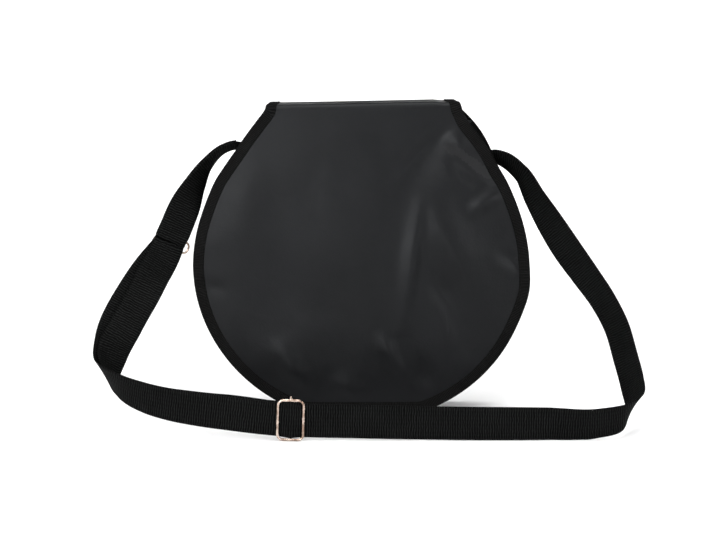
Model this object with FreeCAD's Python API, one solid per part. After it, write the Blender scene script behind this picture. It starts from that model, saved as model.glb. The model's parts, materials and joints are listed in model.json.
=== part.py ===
import FreeCAD, Part
import math
import os

# Round, flat-topped shoulder bag for golf shoes: two round panels joined by a gusset, a flap over the
# whole front, and a long webbing strap that has fallen down in front of the bag.
# Millimetres. +X right, +Y to the back, +Z up. The origin is the middle of the base, on the floor.

V = FreeCAD.Vector

# ---- the bag's outline, seen from the front -------------------------------------------------------
bag_width = 382.0
bag_height = 357.0
waist_height = 173.0        # where the bag is widest
base_sink = 8.0             # how much of the round lower end the floor cuts off
shoulder_drop = 95.0        # the upper sides run from the waist through two places, below the top
shoulder_width = 337.0
neck_drop = 49.0
neck_width = 281.0
mouth_width = 208.0

# ---- depth and fabric -----------------------------------------------------------------------------
base_depth = 70.0
mouth_depth = 42.0
fabric = 1.6                # coated fabric of the panels, gusset and flap
tape = 0.9                  # woven binding tape, one layer
binding_width = 11.0
hem_width = 12.0
seam_edge = 1.5             # from the binding's fold to the raw edge of the fabric in it
fit_gap = 0.3               # what lies beside another piece without touching it

front_panel_drop = 21.0     # the mouth: from the bag's top down to the front panel's edge
gusset_drop = 7.0
gusset_sag = 5.0            # how far the base of the gusset sags below its seam, down to the floor

# ---- flap -----------------------------------------------------------------------------------------
flap_gap = 3.0              # from the front panel to the inside of the flap
flap_foot = 8.0             # height of the flap's lower edge
flap_corner = 45.0          # rounding of its lower edge
flap_bend = 7.0             # outer radius where the flap turns over the top
hinge_setback = 3.0         # hinge line behind the back panel's plane at the top

# ---- hook-and-loop fastener -----------------------------------------------------------------------
hook_width = 90.0
hook_height = 25.0
loop_width = 100.0
loop_height = 38.0
fastener_thickness = 1.2
fastener_level = 78.0       # height of both tapes' middle

# ---- shoulder strap -------------------------------------------------------------------------------
web_width = 37.0
web = 1.6                   # one layer of webbing
layer_gap = 0.3
steps = 4                   # sections from one place of a strap's route to the next
sewn_length = 34.0          # webbing sewn flat on the gusset at each end
strap_sewn_drop = 53.0      # where the strap leaves the gusset, below the bag's top
tab_sewn_drop = 48.0        # where the short tab does
stub_reach = 15.6           # webbing that stands out from the gusset before it swings
stub_lead = 5.0             # straight webbing after the stub
sewn_shift = 1.0            # how far the loose webbing lies in front of the gusset's middle

# ---- ring between the short tab and the long strap ------------------------------------------------
ring_wire = 2.4
ring_inside = 6.0           # opening along the strap
ring_play = 1.5             # opening past each edge of the webbing
ring_corner = 3.0
ring_beside = 26.0          # from the bag's widest place to the middle of the ring
ring_across = V(-0.85, -0.20, 0.49)
ring_down = V(-0.50, -0.12, -0.86)
turn_tail = 5.0             # straight webbing on each side of a turn round a wire
end_lead = 8.0              # straight webbing that comes up to it

# ---- slider on the front run ----------------------------------------------------------------------
slider_wire = 3.0
slider_length = 31.0
slider_play = 2.0           # opening past each edge of the webbing
slider_corner = 5.0
slider_place = V(-76, -159.5, 23.8)
loop_tail = 36.0            # webbing that slides with the slider, behind the front run
sewn_tail = 30.0            # its turned-back end, sewn to it
sewn_from = 16.0            # where that seam starts
loop_straight = 6.0         # straight webbing behind the bar
stitch_gap = 0.1            # between two layers that are sewn together

# ---- places that follow from these ----------------------------------------------------------------
half = bag_width / 2
ring_place = V(-half - ring_beside, -34, 197)
slope = (base_depth - mouth_depth) / 2 / bag_height     # each panel leans in by this
lean = math.hypot(1, slope)
lower_reach = waist_height + base_sink
shoulder_height = bag_height - shoulder_drop
neck_height = bag_height - neck_drop
front_panel_height = bag_height - front_panel_drop
gusset_height = bag_height - gusset_drop
far = 260.0                 # half the size of the blocks that cut, past every side of the bag
past = 20.0                 # how far a cut runs past what it cuts

# The strap's long layer, from the right side of the bag, down, along the floor in front of the bag, up
# again to the ring: middle of the webbing, and the direction from one edge of it to the other. Two
# places beside the gusset come before these, and two at the ring come after them.
long_places = [
    (V(half - 27, -8, 296), V(0.20, -0.96, 0.20)),
    (V(half - 7, -18, 276), V(0.36, -0.88, 0.30)),
    (V(half + 8, -29, 248), V(0.50, -0.76, 0.35)),
    (V(half + 24, -40, 221), V(0.60, -0.65, 0.40)),
    (V(half + 42, -51, 194), V(0.68, -0.60, 0.42)),
    (V(half + 61, -62, 167), V(0.66, -0.64, 0.40)),
    (V(half + 79, -73, 140), V(0.62, -0.68, 0.38)),
    (V(half + 94, -84, 112), V(0.60, -0.70, 0.32)),
    (V(half + 105, -97, 80), V(0.58, -0.72, 0.34)),
    (V(half + 109, -113, 54), V(0.50, -0.66, 0.50)),
    (V(half + 105, -133, 36), V(0.36, -0.50, 0.78)),
    (V(half + 91, -149, 25), V(0.15, -0.36, 0.93)),
    (V(half + 64, -157, 20.6), V(0, -0.30, 0.95)),
    (V(half + 9, -159.5, 19.3), V(0, -0.10, 1)),
    (V(120, -159.5, 20), V(0, 0, 1)),
    (V(75, -159.5, 21.9), V(0, 0, 1)),
    (V(0, -159.5, 22.6), V(0, 0, 1)),
    (V(-100, -159.5, 25), V(0, 0, 1)),
    (V(-140, -159.5, 28.8), V(0, 0, 1)),
    (V(-half + 16, -155, 33.5), V(0, 0, 1)),
    (V(-half - 19, -147, 39.5), V(0, 0, 1)),
    (V(-half - 47, -137, 47), V(-0.05, -0.15, 0.98)),
    (V(-half - 73, -124, 56), V(-0.16, -0.36, 0.92)),
    (V(-half - 89, -102, 68), V(-0.45, -0.50, 0.74)),
    (V(-half - 91, -76, 90), V(-0.72, -0.36, 0.60)),
    (V(-half - 83, -59, 113), V(-0.85, -0.10, 0.50)),
    (V(-half - 65, -50, 144), V(-0.86, -0.10, 0.50)),
    (V(-half - 50, -43, 166), V(-0.86, -0.15, 0.50)),
]
# each node of the long layer, and the places where it begins and ends
long_nodes = [("strap_right_fall", 0, 11), ("strap_right_corner", 11, 14), ("strap_front_run", 14, 22),
              ("strap_left_corner", 22, 27), ("strap_left_rise", 27, 31)]

# The returning layer, from behind the front run round the left corner and up to the ring.
return_places = [
    (V(-half + 1, -149, 36), V(0, 0, 1)),
    (V(-half - 19, -143.5, 39.5), V(0, 0, 1)),
    (V(-half - 43, -132, 47), V(-0.05, -0.15, 0.98)),
    (V(-half - 65, -118, 56), V(-0.16, -0.36, 0.92)),
    (V(-half - 79, -101, 67), V(-0.45, -0.50, 0.74)),
    (V(-half - 81, -84, 85), V(-0.72, -0.36, 0.60)),
    (V(-half - 72, -70, 111), V(-0.85, -0.10, 0.50)),
    (V(-half - 55, -60, 143), V(-0.86, -0.10, 0.50)),
    (V(-half - 44, -51, 163), V(-0.86, -0.15, 0.50)),
]
return_nodes = [("return_left_corner", 0, 6), ("return_left_rise", 6, 10)]

# The short tab, from the left side of the bag down to the ring.
tab_places = [
    (V(-half + 35, -6, 302), V(-0.25, -0.93, 0.40)),
    (V(-half + 17, -12, 286), V(-0.45, -0.80, 0.45)),
    (V(-half + 4, -18, 264), V(-0.65, -0.60, 0.45)),
    (V(-half - 10, -25, 236), V(-0.80, -0.35, 0.45)),
]


def cut_back(radius):
    """How far the middle of a rounding lies from its square corner, along each side."""
    return radius * (1 - math.sqrt(0.5))


def depth_at(height):
    """The bag's depth at a height: it is a wedge, deepest at the base."""
    return base_depth + (mouth_depth - base_depth) * height / bag_height


def side_curve(inset):
    """The right side from the waist up, moved in by inset, and the places that it runs through."""
    places = [(bag_width / 2, waist_height), (shoulder_width / 2, shoulder_height),
              (neck_width / 2, neck_height), (mouth_width / 2, bag_height)]
    side = [V(half - inset, waist_height, 0)]
    for (x0, z0), (x1, z1) in zip(places, places[1:]):
        side.append(V(x1 - inset * math.hypot(1, (x0 - x1) / (z1 - z0)), z1, 0))
    curve = Part.BSplineCurve()
    curve.interpolate(Points=side, InitialTangent=V(0, 60, 0), FinalTangent=(side[3] - side[2]))
    return curve, side


def half_width_at(height, inset):
    level = Part.makeLine(V(0, height, 0), V(bag_width, height, 0))
    return level.distToShape(side_curve(inset)[0].toShape())[1][0][0].x


def outline(inset=0.0, floor=0.0, top=bag_height, sag=0.0, corner=0.0):
    """The outline as a long prism along Y, moved in by inset, cut off at floor and drawn up to top."""
    wide = half - inset
    reach = lower_reach - inset + sag
    upper, side = side_curve(inset)
    foot = wide * math.sqrt(1 - ((waist_height - floor) / reach) ** 2) if reach > waist_height - floor else 0
    ellipse = Part.Ellipse(V(0, waist_height, 0), max(wide, reach), min(wide, reach))
    if reach > wide:
        ellipse.rotate(FreeCAD.Placement(V(0, waist_height, 0), FreeCAD.Rotation(V(0, 0, 1), 90),
                                         V(0, 0, 0)))
    start = ellipse.parameter(V(foot, floor, 0))
    end = ellipse.parameter(V(wide, waist_height, 0))
    if end < start:
        end += 2 * math.pi
    lower = Part.ArcOfEllipse(ellipse, start, end)
    right = [lower.toShape(), upper.toShape()]
    if top > bag_height:
        right.append(Part.makeLine(side[3], V(side[3].x, top, 0)))
    left = [edge.mirror(V(0, 0, 0), V(1, 0, 0)) for edge in right]
    tip = V(side[3].x, max(top, bag_height), 0)
    edges = right + left + [Part.makeLine(tip, V(-tip.x, tip.y, 0))]
    if foot > 0:
        edges.append(Part.makeLine(V(foot, floor, 0), V(-foot, floor, 0)))
    face = Part.Face(Part.Wire(Part.__sortEdges__(edges)))
    prism = face.extrude(V(0, 0, 2 * far))
    if corner > 0:
        ends = [edge for edge in prism.Edges
                if edge.BoundBox.ZLength > far and abs(edge.BoundBox.YMin - floor) < fit_gap]
        prism = prism.makeFillet(corner, ends)
    prism.rotate(V(0, 0, 0), V(1, 0, 0), 90)
    prism.translate(V(0, far, 0))
    return prism


def slab(side, outer, thickness):
    """A wide plate parallel to the front (side -1) or back (side 1) panel, outer from its plane."""
    low, high = -past, bag_height + past
    corners = []
    for off, z in ((outer, low), (outer, high), (outer - thickness, high), (outer - thickness, low)):
        corners.append(V(-far, side * (depth_at(z) / 2 + off * lean), z))
    return Part.Face(Part.makePolygon(corners + corners[:1])).extrude(V(2 * far, 0, 0))


def between(inset):
    """The space between the two panels' planes, moved in by a distance."""
    low, high = -past, bag_height + past
    corners = [V(-far, side * (depth_at(z) / 2 - inset * lean), z)
               for side, z in ((-1, low), (-1, high), (1, high), (1, low))]
    return Part.Face(Part.makePolygon(corners + corners[:1])).extrude(V(2 * far, 0, 0))


def flap_profile(grow=0.0):
    """The flap's section over the top and down the front, extruded across, grown to both sides."""
    y_top = -(mouth_depth / 2 + (flap_gap + fabric + grow) * lean)
    y_inner = -(mouth_depth / 2 + (flap_gap - grow) * lean)
    z_out, z_in = bag_height + fabric + grow, bag_height - grow
    y_hinge = mouth_depth / 2 + hinge_setback

    def on_front(y, z):
        return V(-far, y - slope * (bag_height - z), z)

    bend_out, bend_in = flap_bend + grow, flap_bend - fabric - grow
    corner_out, corner_in = on_front(y_top, z_out), on_front(y_inner, z_in)
    line = []
    for corner, radius, y in ((corner_out, bend_out, y_top), (corner_in, bend_in, y_inner)):
        before = V(-far, corner.y + radius, corner.z)
        after = on_front(y, corner.z - radius)
        middle = corner + (before - corner + after - corner) * (cut_back(radius) / radius)
        line.append((before, middle, after))
    (b0, m0, a0), (b1, m1, a1) = line
    low_out, low_in = on_front(y_top, -past), on_front(y_inner, -past)
    edge_out, edge_in = V(-far, y_hinge, z_out), V(-far, y_hinge, z_in)
    edges = [Part.makeLine(edge_out, b0), Part.Arc(b0, m0, a0).toShape(), Part.makeLine(a0, low_out),
             Part.makeLine(low_out, low_in), Part.makeLine(low_in, a1), Part.Arc(a1, m1, b1).toShape(),
             Part.makeLine(b1, edge_in), Part.makeLine(edge_in, edge_out)]
    return Part.Face(Part.Wire(edges)).extrude(V(2 * far, 0, 0))


def below(height):
    return Part.makeBox(2 * far, 2 * far, height + past, V(-far, -far, -past))


# ---- webbing --------------------------------------------------------------------------------------
def spline_sections(route, thickness):
    """Cross-sections along a smooth route, as rectangles of four corners square to it."""
    points = [list(p) + list(w.normalize()) for p, w in route]
    gaps = [(route[i + 1][0] - route[i][0]).Length for i in range(len(route) - 1)]

    def slope(i):
        if i == 0 or i == len(points) - 1:
            a, b = (0, 1) if i == 0 else (i - 1, i)
            return [(q - p) / gaps[a] for p, q in zip(points[a], points[b])]
        g0, g1 = gaps[i - 1], gaps[i]
        return [((c - b) / g1 * g0 + (b - a) / g0 * g1) / (g0 + g1)
                for a, b, c in zip(points[i - 1], points[i], points[i + 1])]

    slopes = [slope(i) for i in range(len(points))]
    sections = []
    for i, gap in enumerate(gaps):
        last = 1 if i == len(gaps) - 1 else 0
        for k in range(steps + last):
            u = k / steps
            h = (2 * u**3 - 3 * u**2 + 1, (u**3 - 2 * u**2 + u) * gap, 3 * u**2 - 2 * u**3,
                 (u**3 - u**2) * gap)
            dh = ((6 * u**2 - 6 * u) / gap, 3 * u**2 - 4 * u + 1, (6 * u - 6 * u**2) / gap,
                  3 * u**2 - 2 * u)
            parts = list(zip(points[i], slopes[i], points[i + 1], slopes[i + 1]))
            value = [sum(c * p for c, p in zip(h, part)) for part in parts]
            along = V(*[sum(c * p for c, p in zip(dh, part)) for part in parts[:3]]).normalize()
            middle, across = V(*value[:3]), V(*value[3:])
            across = (across - along * across.dot(along)).normalize()
            sections.append((middle, across, along.cross(across)))
    return [rectangle(m, w, n, thickness) for m, w, n in sections]


def rectangle(middle, across, normal, thickness, width=None):
    half, thick = across * ((width or web_width) / 2), normal * (thickness / 2)
    return [middle - half - thick, middle + half - thick, middle + half + thick, middle - half + thick]


def loft(sections):
    """A closed solid of flat and ruled faces through the sections."""
    wires = [Part.makePolygon(s + s[:1]) for s in sections]
    return Part.makeLoft(wires, True, True)


def split_route(route, pieces):
    sections = spline_sections(route, web)
    for name, start, end in pieces:
        yield name, loft(sections[start * steps:end * steps + 1])


def plate(middle, across, along, normal, width, length, thickness):
    """A flat strip from middle along its length."""
    start = rectangle(middle, across, normal, thickness, width)
    return loft([start, [p + along * length for p in start]])


def tube(middle, axis, inner, outer, length):
    start = middle - axis * (length / 2)
    return Part.makeCylinder(outer, length, start, axis).cut(Part.makeCylinder(inner, length, start, axis))


def rounded_wire(middle, across, down, inside_across, inside_down, wire, corner):
    """A wire bent to a rounded rectangle whose opening has these sizes."""
    a, b = (inside_across + wire) / 2, (inside_down + wire) / 2

    def at(u, v):
        return middle + across * u + down * v

    diagonal = cut_back(corner)
    edges = []
    for i, (su, sv) in enumerate(((1, -1), (1, 1), (-1, 1), (-1, -1))):
        first = at(su * (a - corner), sv * b) if i % 2 == 0 else at(su * a, sv * (b - corner))
        last = at(su * a, sv * (b - corner)) if i % 2 == 0 else at(su * (a - corner), sv * b)
        edges.append(Part.Arc(first, at(su * (a - diagonal), sv * (b - diagonal)), last).toShape())
    pieces = []
    for i, arc in enumerate(edges):
        after = edges[(i + 1) % 4]
        pieces += [arc, Part.makeLine(arc.Vertexes[-1].Point, after.Vertexes[0].Point)]
    path = Part.Wire(pieces)
    start = path.Edges[0].Vertexes[0].Point
    circle = Part.Wire(Part.makeCircle(wire / 2, start, across))
    return path.makePipeShell([circle], True, True)


# ---- the pieces -----------------------------------------------------------------------------------
def body_pieces():
    sheet = outline(seam_edge, seam_edge)
    back = sheet.common(slab(1, 0, fabric)).common(below(bag_height - tape - fit_gap))
    front = sheet.common(slab(-1, 0, fabric)).common(below(front_panel_height))
    inset = binding_width + fit_gap
    gusset = outline(inset, 0, sag=gusset_sag).cut(outline(inset + fabric, fabric, sag=gusset_sag))
    gusset = gusset.common(between(fabric)).common(below(gusset_height))
    ring = outline().cut(outline(binding_width, -past, bag_height + past))
    front_binding = ring.common(slab(-1, tape, fabric + 2 * tape)).common(below(front_panel_height))
    back_binding = ring.common(slab(1, tape, fabric + 2 * tape)).common(below(gusset_height))
    hem = outline(binding_width + fit_gap, 0).common(slab(-1, tape, fabric + 2 * tape))
    hem = hem.common(below(front_panel_height + tape)).cut(below(front_panel_height - hem_width))
    loop = Part.makeBox(loop_width, far, loop_height,
                        V(-loop_width / 2, -far, fastener_level - loop_height / 2))
    loop = loop.common(slab(-1, fastener_thickness, fastener_thickness))
    gusset = gusset.cut(front_binding).cut(back_binding)
    return {
        "back_panel": back,
        "front_panel": front,
        "gusset": gusset,
        "front_binding": front_binding.cut(front),
        "back_binding": back_binding.cut(back),
        "mouth_hem": hem.cut(front).cut(gusset),
        "loop_tape": loop,
    }


def flap_pieces():
    top = bag_height + past
    panel = outline(seam_edge, flap_foot + seam_edge, top, corner=flap_corner - seam_edge)
    panel = panel.common(flap_profile())
    ring = outline(0, flap_foot, top, corner=flap_corner)
    ring = ring.cut(outline(binding_width, flap_foot + binding_width, top + past,
                            corner=flap_corner - binding_width))
    binding = ring.common(flap_profile(tape)).cut(panel)
    hook = Part.makeBox(hook_width, far, hook_height,
                        V(-hook_width / 2, -far, fastener_level - hook_height / 2))
    hook = hook.common(slab(-1, flap_gap, fastener_thickness))
    return {"flap_panel": panel, "flap_binding": binding, "hook_tape": hook}


def leaving(side, height):
    """The two straight places of a route where it leaves the gusset on one side of the bag."""
    x = half_width_at(height, binding_width) + stub_reach
    return [(V(side * x, -sewn_shift, height), V(0, -1, 0)),
            (V(side * (x + stub_lead), -sewn_shift, height), V(0, -1, 0))]


def sewn_end(side, start):
    """Webbing sewn flat on the gusset's side, and the stub that the loose strap goes on from."""
    height = sum(corner.z for corner in start) / len(start)
    patch = outline(binding_width - web, -past).cut(outline(binding_width, -past))
    patch = patch.common(Part.makeBox(bag_width / 2, web_width, sewn_length,
                                      V(0 if side > 0 else -bag_width / 2, -web_width / 2,
                                        height - web / 2)))
    across = V(0, -1, 0)
    root = V(side * (half_width_at(height, binding_width) + web / 4), 0, height)
    end = [corner - V(side * fit_gap, 0, 0) for corner in start]
    stub = loft([rectangle(root, across, V(side, 0, 0).cross(across), web), end])
    return patch.fuse(stub).removeSplitter()


def webbing_pieces(nodes):
    across, down = V(*ring_across).normalize(), V(*ring_down)
    down = (down - across * down.dot(across)).normalize()
    front = across.cross(down)
    turn = ring_wire / 2 + layer_gap + web / 2
    upper = ring_place - down * ((ring_inside + ring_wire) / 2)
    lower = ring_place + down * ((ring_inside + ring_wire) / 2)
    # the ring, and the turn of webbing that hangs in it
    nodes["ring"] = rounded_wire(ring_place, across, down, web_width + 2 * ring_play, ring_inside,
                                 ring_wire, ring_corner)
    bend = tube(lower, across, turn - web / 2, turn + web / 2, web_width)
    bend = bend.cut(plate(lower, across, down, front, 2 * web_width, web_width, web_width))
    for sign in (1, -1):
        side = lower + front * (sign * turn)
        bend = bend.fuse(plate(side, across, down, front, web_width, turn_tail, web))
    nodes["strap_ring_turn"] = bend.removeSplitter()
    # the long layer behind and the returning layer in front of it end at the turn
    tails = [lower + down * (turn_tail + layer_gap) + front * (sign * turn) for sign in (-1, 1)]
    ends = [[(tail + down * end_lead, across), (tail, across)] for tail in tails]
    long_route = leaving(1, bag_height - strap_sewn_drop) + long_places + ends[0]
    nodes.update(split_route(long_route, long_nodes))
    nodes.update(split_route(return_places + ends[1], return_nodes))
    nodes["strap_sewn_end"] = sewn_end(1, spline_sections(long_route, web)[0])
    # the tab is two layers that go round the upper wire
    tab_end = upper - down * (turn + web / 2)
    tab_route = leaving(-1, bag_height - tab_sewn_drop) + tab_places + [(tab_end, across)]
    sections = spline_sections(tab_route, 2 * web)
    eye = tube(upper, across, turn - web / 2, turn + web / 2, web_width)
    hole = Part.makeCylinder(turn - web / 2, 2 * web_width, upper - across * web_width, across)
    nodes["strap_tab"] = loft(sections).fuse(eye).cut(hole).removeSplitter()
    nodes["tab_sewn_end"] = sewn_end(-1, sections[0])


def slider_pieces(nodes):
    x, y, z = V(1, 0, 0), V(0, 1, 0), V(0, 0, 1)
    reach = web / 2 + layer_gap + slider_wire / 2
    height = web_width + 2 * slider_play
    bar_offset = web / 2 + layer_gap + web + layer_gap + slider_wire / 2
    frame = rounded_wire(slider_place - y * reach, x, z, slider_length - 2 * slider_wire, height,
                         slider_wire, slider_corner)
    bar = Part.makeCylinder(slider_wire / 2, height, slider_place + y * bar_offset - z * (height / 2), z)
    for sign in (1, -1):
        level = z * (sign * (height + slider_wire) / 2)
        hook = Part.makeBox(slider_wire, reach + bar_offset + slider_wire / 2, slider_wire,
                            slider_place + level - V(slider_wire / 2, reach, slider_wire / 2))
        bar = bar.fuse(hook)
    nodes["slider_frame"] = frame
    nodes["slider_bar"] = bar.cut(frame).removeSplitter()
    turn = slider_wire / 2 + layer_gap + web / 2
    middle = slider_place + y * bar_offset
    bend = tube(middle, z, turn - web / 2, turn + web / 2, web_width)
    tail = plate(middle - y * turn, z, -x, y, web_width, loop_tail, web)
    sewn = middle - y * (turn - web - stitch_gap)
    back = loft([rectangle(middle + y * turn, z, y, web),
                 rectangle(middle + y * turn - x * loop_straight, z, y, web),
                 rectangle(sewn - x * sewn_from, z, y, web),
                 rectangle(sewn - x * sewn_tail, z, y, web)])
    bend = bend.cut(Part.makeBox(web_width, 2 * web_width, 2 * web_width,
                                 middle - V(web_width, web_width, web_width)))
    nodes["slider_loop"] = bend.fuse(tail).fuse(back).removeSplitter()


def main():
    nodes = {}
    nodes.update(body_pieces())
    nodes.update(flap_pieces())
    webbing_pieces(nodes)
    slider_pieces(nodes)
    os.makedirs("parts", exist_ok=True)
    for name, shape in nodes.items():
        shape.exportStep(f"parts/{name}.step")
        print(name, len(shape.Solids), "valid" if shape.isValid() else "INVALID", round(shape.Volume))


main()
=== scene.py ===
# %% [markdown]
# # A shoulder bag for golf shoes
# The bag is a round, flat-topped pocket of coated fabric with a flap over its whole front. Its webbing
# strap has fallen down in front of it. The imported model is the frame: every piece below takes its place
# from it, in metres, with +X to the right, +Y to the back and +Z up.

# %% Load the frame
import json
import math

import bmesh
import bpy
import numpy as np
from mathutils import Vector, noise
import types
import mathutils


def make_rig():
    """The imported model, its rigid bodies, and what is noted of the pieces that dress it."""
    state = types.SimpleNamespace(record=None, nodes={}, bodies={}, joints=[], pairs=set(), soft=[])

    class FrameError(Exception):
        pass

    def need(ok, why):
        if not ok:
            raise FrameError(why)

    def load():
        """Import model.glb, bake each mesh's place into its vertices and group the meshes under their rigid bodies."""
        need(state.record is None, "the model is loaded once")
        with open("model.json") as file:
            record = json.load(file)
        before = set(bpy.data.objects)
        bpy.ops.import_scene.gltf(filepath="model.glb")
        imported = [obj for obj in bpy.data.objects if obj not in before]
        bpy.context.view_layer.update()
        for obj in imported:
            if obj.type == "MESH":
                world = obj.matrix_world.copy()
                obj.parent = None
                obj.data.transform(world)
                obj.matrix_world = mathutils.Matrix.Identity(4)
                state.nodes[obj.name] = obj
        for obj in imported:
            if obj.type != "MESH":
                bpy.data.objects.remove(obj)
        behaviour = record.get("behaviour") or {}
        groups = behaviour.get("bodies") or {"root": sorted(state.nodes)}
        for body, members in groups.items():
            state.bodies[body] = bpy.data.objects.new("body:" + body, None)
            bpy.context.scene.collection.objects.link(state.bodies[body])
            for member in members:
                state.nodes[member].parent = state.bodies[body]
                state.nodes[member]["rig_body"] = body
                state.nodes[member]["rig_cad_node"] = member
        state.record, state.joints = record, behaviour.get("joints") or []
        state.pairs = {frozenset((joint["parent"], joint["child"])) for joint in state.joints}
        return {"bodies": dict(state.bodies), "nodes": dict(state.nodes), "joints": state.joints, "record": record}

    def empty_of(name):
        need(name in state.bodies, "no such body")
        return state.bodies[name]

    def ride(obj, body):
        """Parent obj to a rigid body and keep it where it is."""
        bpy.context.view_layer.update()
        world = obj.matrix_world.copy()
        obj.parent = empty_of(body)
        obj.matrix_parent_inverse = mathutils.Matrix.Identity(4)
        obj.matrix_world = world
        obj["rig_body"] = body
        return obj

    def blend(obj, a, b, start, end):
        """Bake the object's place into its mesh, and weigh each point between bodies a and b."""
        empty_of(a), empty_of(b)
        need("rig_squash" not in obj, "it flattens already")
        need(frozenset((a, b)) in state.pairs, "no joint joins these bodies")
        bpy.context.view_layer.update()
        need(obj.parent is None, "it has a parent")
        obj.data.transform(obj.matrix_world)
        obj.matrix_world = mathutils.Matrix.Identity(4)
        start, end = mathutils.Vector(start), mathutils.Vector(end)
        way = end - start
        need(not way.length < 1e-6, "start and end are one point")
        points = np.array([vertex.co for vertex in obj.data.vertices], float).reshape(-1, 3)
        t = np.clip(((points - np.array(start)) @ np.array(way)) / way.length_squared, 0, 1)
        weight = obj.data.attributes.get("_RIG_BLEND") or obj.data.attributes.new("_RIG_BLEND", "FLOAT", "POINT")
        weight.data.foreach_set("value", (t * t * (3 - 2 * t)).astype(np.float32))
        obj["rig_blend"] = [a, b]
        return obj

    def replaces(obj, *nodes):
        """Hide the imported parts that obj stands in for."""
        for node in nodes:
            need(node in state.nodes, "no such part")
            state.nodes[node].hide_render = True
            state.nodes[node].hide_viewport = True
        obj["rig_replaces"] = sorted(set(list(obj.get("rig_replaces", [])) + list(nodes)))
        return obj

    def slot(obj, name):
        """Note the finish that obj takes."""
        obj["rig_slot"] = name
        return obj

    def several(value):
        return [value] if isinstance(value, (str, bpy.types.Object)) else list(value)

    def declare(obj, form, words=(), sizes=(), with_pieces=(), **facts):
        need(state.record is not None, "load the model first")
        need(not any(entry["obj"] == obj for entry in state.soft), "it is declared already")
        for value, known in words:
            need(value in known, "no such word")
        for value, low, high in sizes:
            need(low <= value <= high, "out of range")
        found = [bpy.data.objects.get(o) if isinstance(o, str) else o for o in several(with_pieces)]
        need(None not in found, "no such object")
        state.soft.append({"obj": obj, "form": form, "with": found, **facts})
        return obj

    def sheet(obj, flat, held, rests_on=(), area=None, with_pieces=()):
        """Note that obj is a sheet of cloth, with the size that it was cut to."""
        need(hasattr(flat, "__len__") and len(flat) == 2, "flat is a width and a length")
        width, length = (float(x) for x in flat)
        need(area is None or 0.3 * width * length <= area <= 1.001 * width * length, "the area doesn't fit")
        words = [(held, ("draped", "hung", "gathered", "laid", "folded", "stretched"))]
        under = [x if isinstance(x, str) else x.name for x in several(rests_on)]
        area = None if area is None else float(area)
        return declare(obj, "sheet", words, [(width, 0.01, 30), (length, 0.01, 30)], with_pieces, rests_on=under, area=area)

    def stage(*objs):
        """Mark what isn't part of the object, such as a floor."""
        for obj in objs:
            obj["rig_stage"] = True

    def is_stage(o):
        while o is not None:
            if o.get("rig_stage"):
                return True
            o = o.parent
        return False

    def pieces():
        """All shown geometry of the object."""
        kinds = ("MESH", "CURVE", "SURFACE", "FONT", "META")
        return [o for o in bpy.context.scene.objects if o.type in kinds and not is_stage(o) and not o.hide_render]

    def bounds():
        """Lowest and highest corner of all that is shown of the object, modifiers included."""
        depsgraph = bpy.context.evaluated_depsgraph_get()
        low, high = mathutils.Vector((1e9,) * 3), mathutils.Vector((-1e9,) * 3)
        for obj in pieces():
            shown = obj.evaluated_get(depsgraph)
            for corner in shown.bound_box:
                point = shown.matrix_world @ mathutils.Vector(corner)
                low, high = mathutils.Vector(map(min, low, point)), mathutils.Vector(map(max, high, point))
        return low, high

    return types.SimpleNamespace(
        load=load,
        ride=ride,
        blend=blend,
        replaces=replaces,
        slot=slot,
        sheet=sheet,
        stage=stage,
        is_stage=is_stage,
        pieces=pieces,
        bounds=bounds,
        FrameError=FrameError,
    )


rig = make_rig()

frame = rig.load()
cad_box = [list(corner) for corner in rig.bounds()]
print("the packed model spans", cad_box)

MM = 0.001
scene = bpy.context.scene

# %% [markdown]
# ## Camera
# The camera stands a little above the middle of the bag and looks straight at its front. A long lens from
# two metres away keeps the round front round; a short one close by would swell the strap that lies nearer.

# %% Camera
CAMERA_TARGET, CAMERA_DISTANCE = Vector((-0.0013, -0.040, 0.1685)), 2.2
CAMERA_ELEVATION, CAMERA_LENS, CAMERA_SENSOR = math.radians(9.0), 97.25, 36.0

lens_data = bpy.data.cameras.new("studio_camera")
lens_data.lens, lens_data.sensor_width = CAMERA_LENS, CAMERA_SENSOR
camera = bpy.data.objects.new("studio_camera", lens_data)
backwards = Vector((0, -math.cos(CAMERA_ELEVATION), math.sin(CAMERA_ELEVATION)))
camera.location = CAMERA_TARGET + backwards * CAMERA_DISTANCE
camera.rotation_euler = (math.pi / 2 - CAMERA_ELEVATION, 0, 0)
scene.collection.objects.link(camera)
scene.camera = camera
print("camera %.1f m away, %.0f degrees up" % (CAMERA_DISTANCE, math.degrees(CAMERA_ELEVATION)))

# %% [markdown]
# ## Floor
# The bag stands on a round sheet of pale paper that curves up into a wall all round. A flat plane would
# end in a horizon; this one shows none, from whichever side the bag is seen.

# %% Floor
FLOOR_RADIUS, FLOOR_CURVE, WALL_HEIGHT, FLOOR_SEGMENTS, CURVE_STEPS = 4.0, 1.2, 1.25, 72, 12


def plain_material(name, colour, roughness):
    material = bpy.data.materials.new(name)
    material.use_nodes = True
    shader = material.node_tree.nodes["Principled BSDF"]
    shader.inputs["Base Color"].default_value = (*colour, 1)
    shader.inputs["Roughness"].default_value = roughness
    return material


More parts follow.
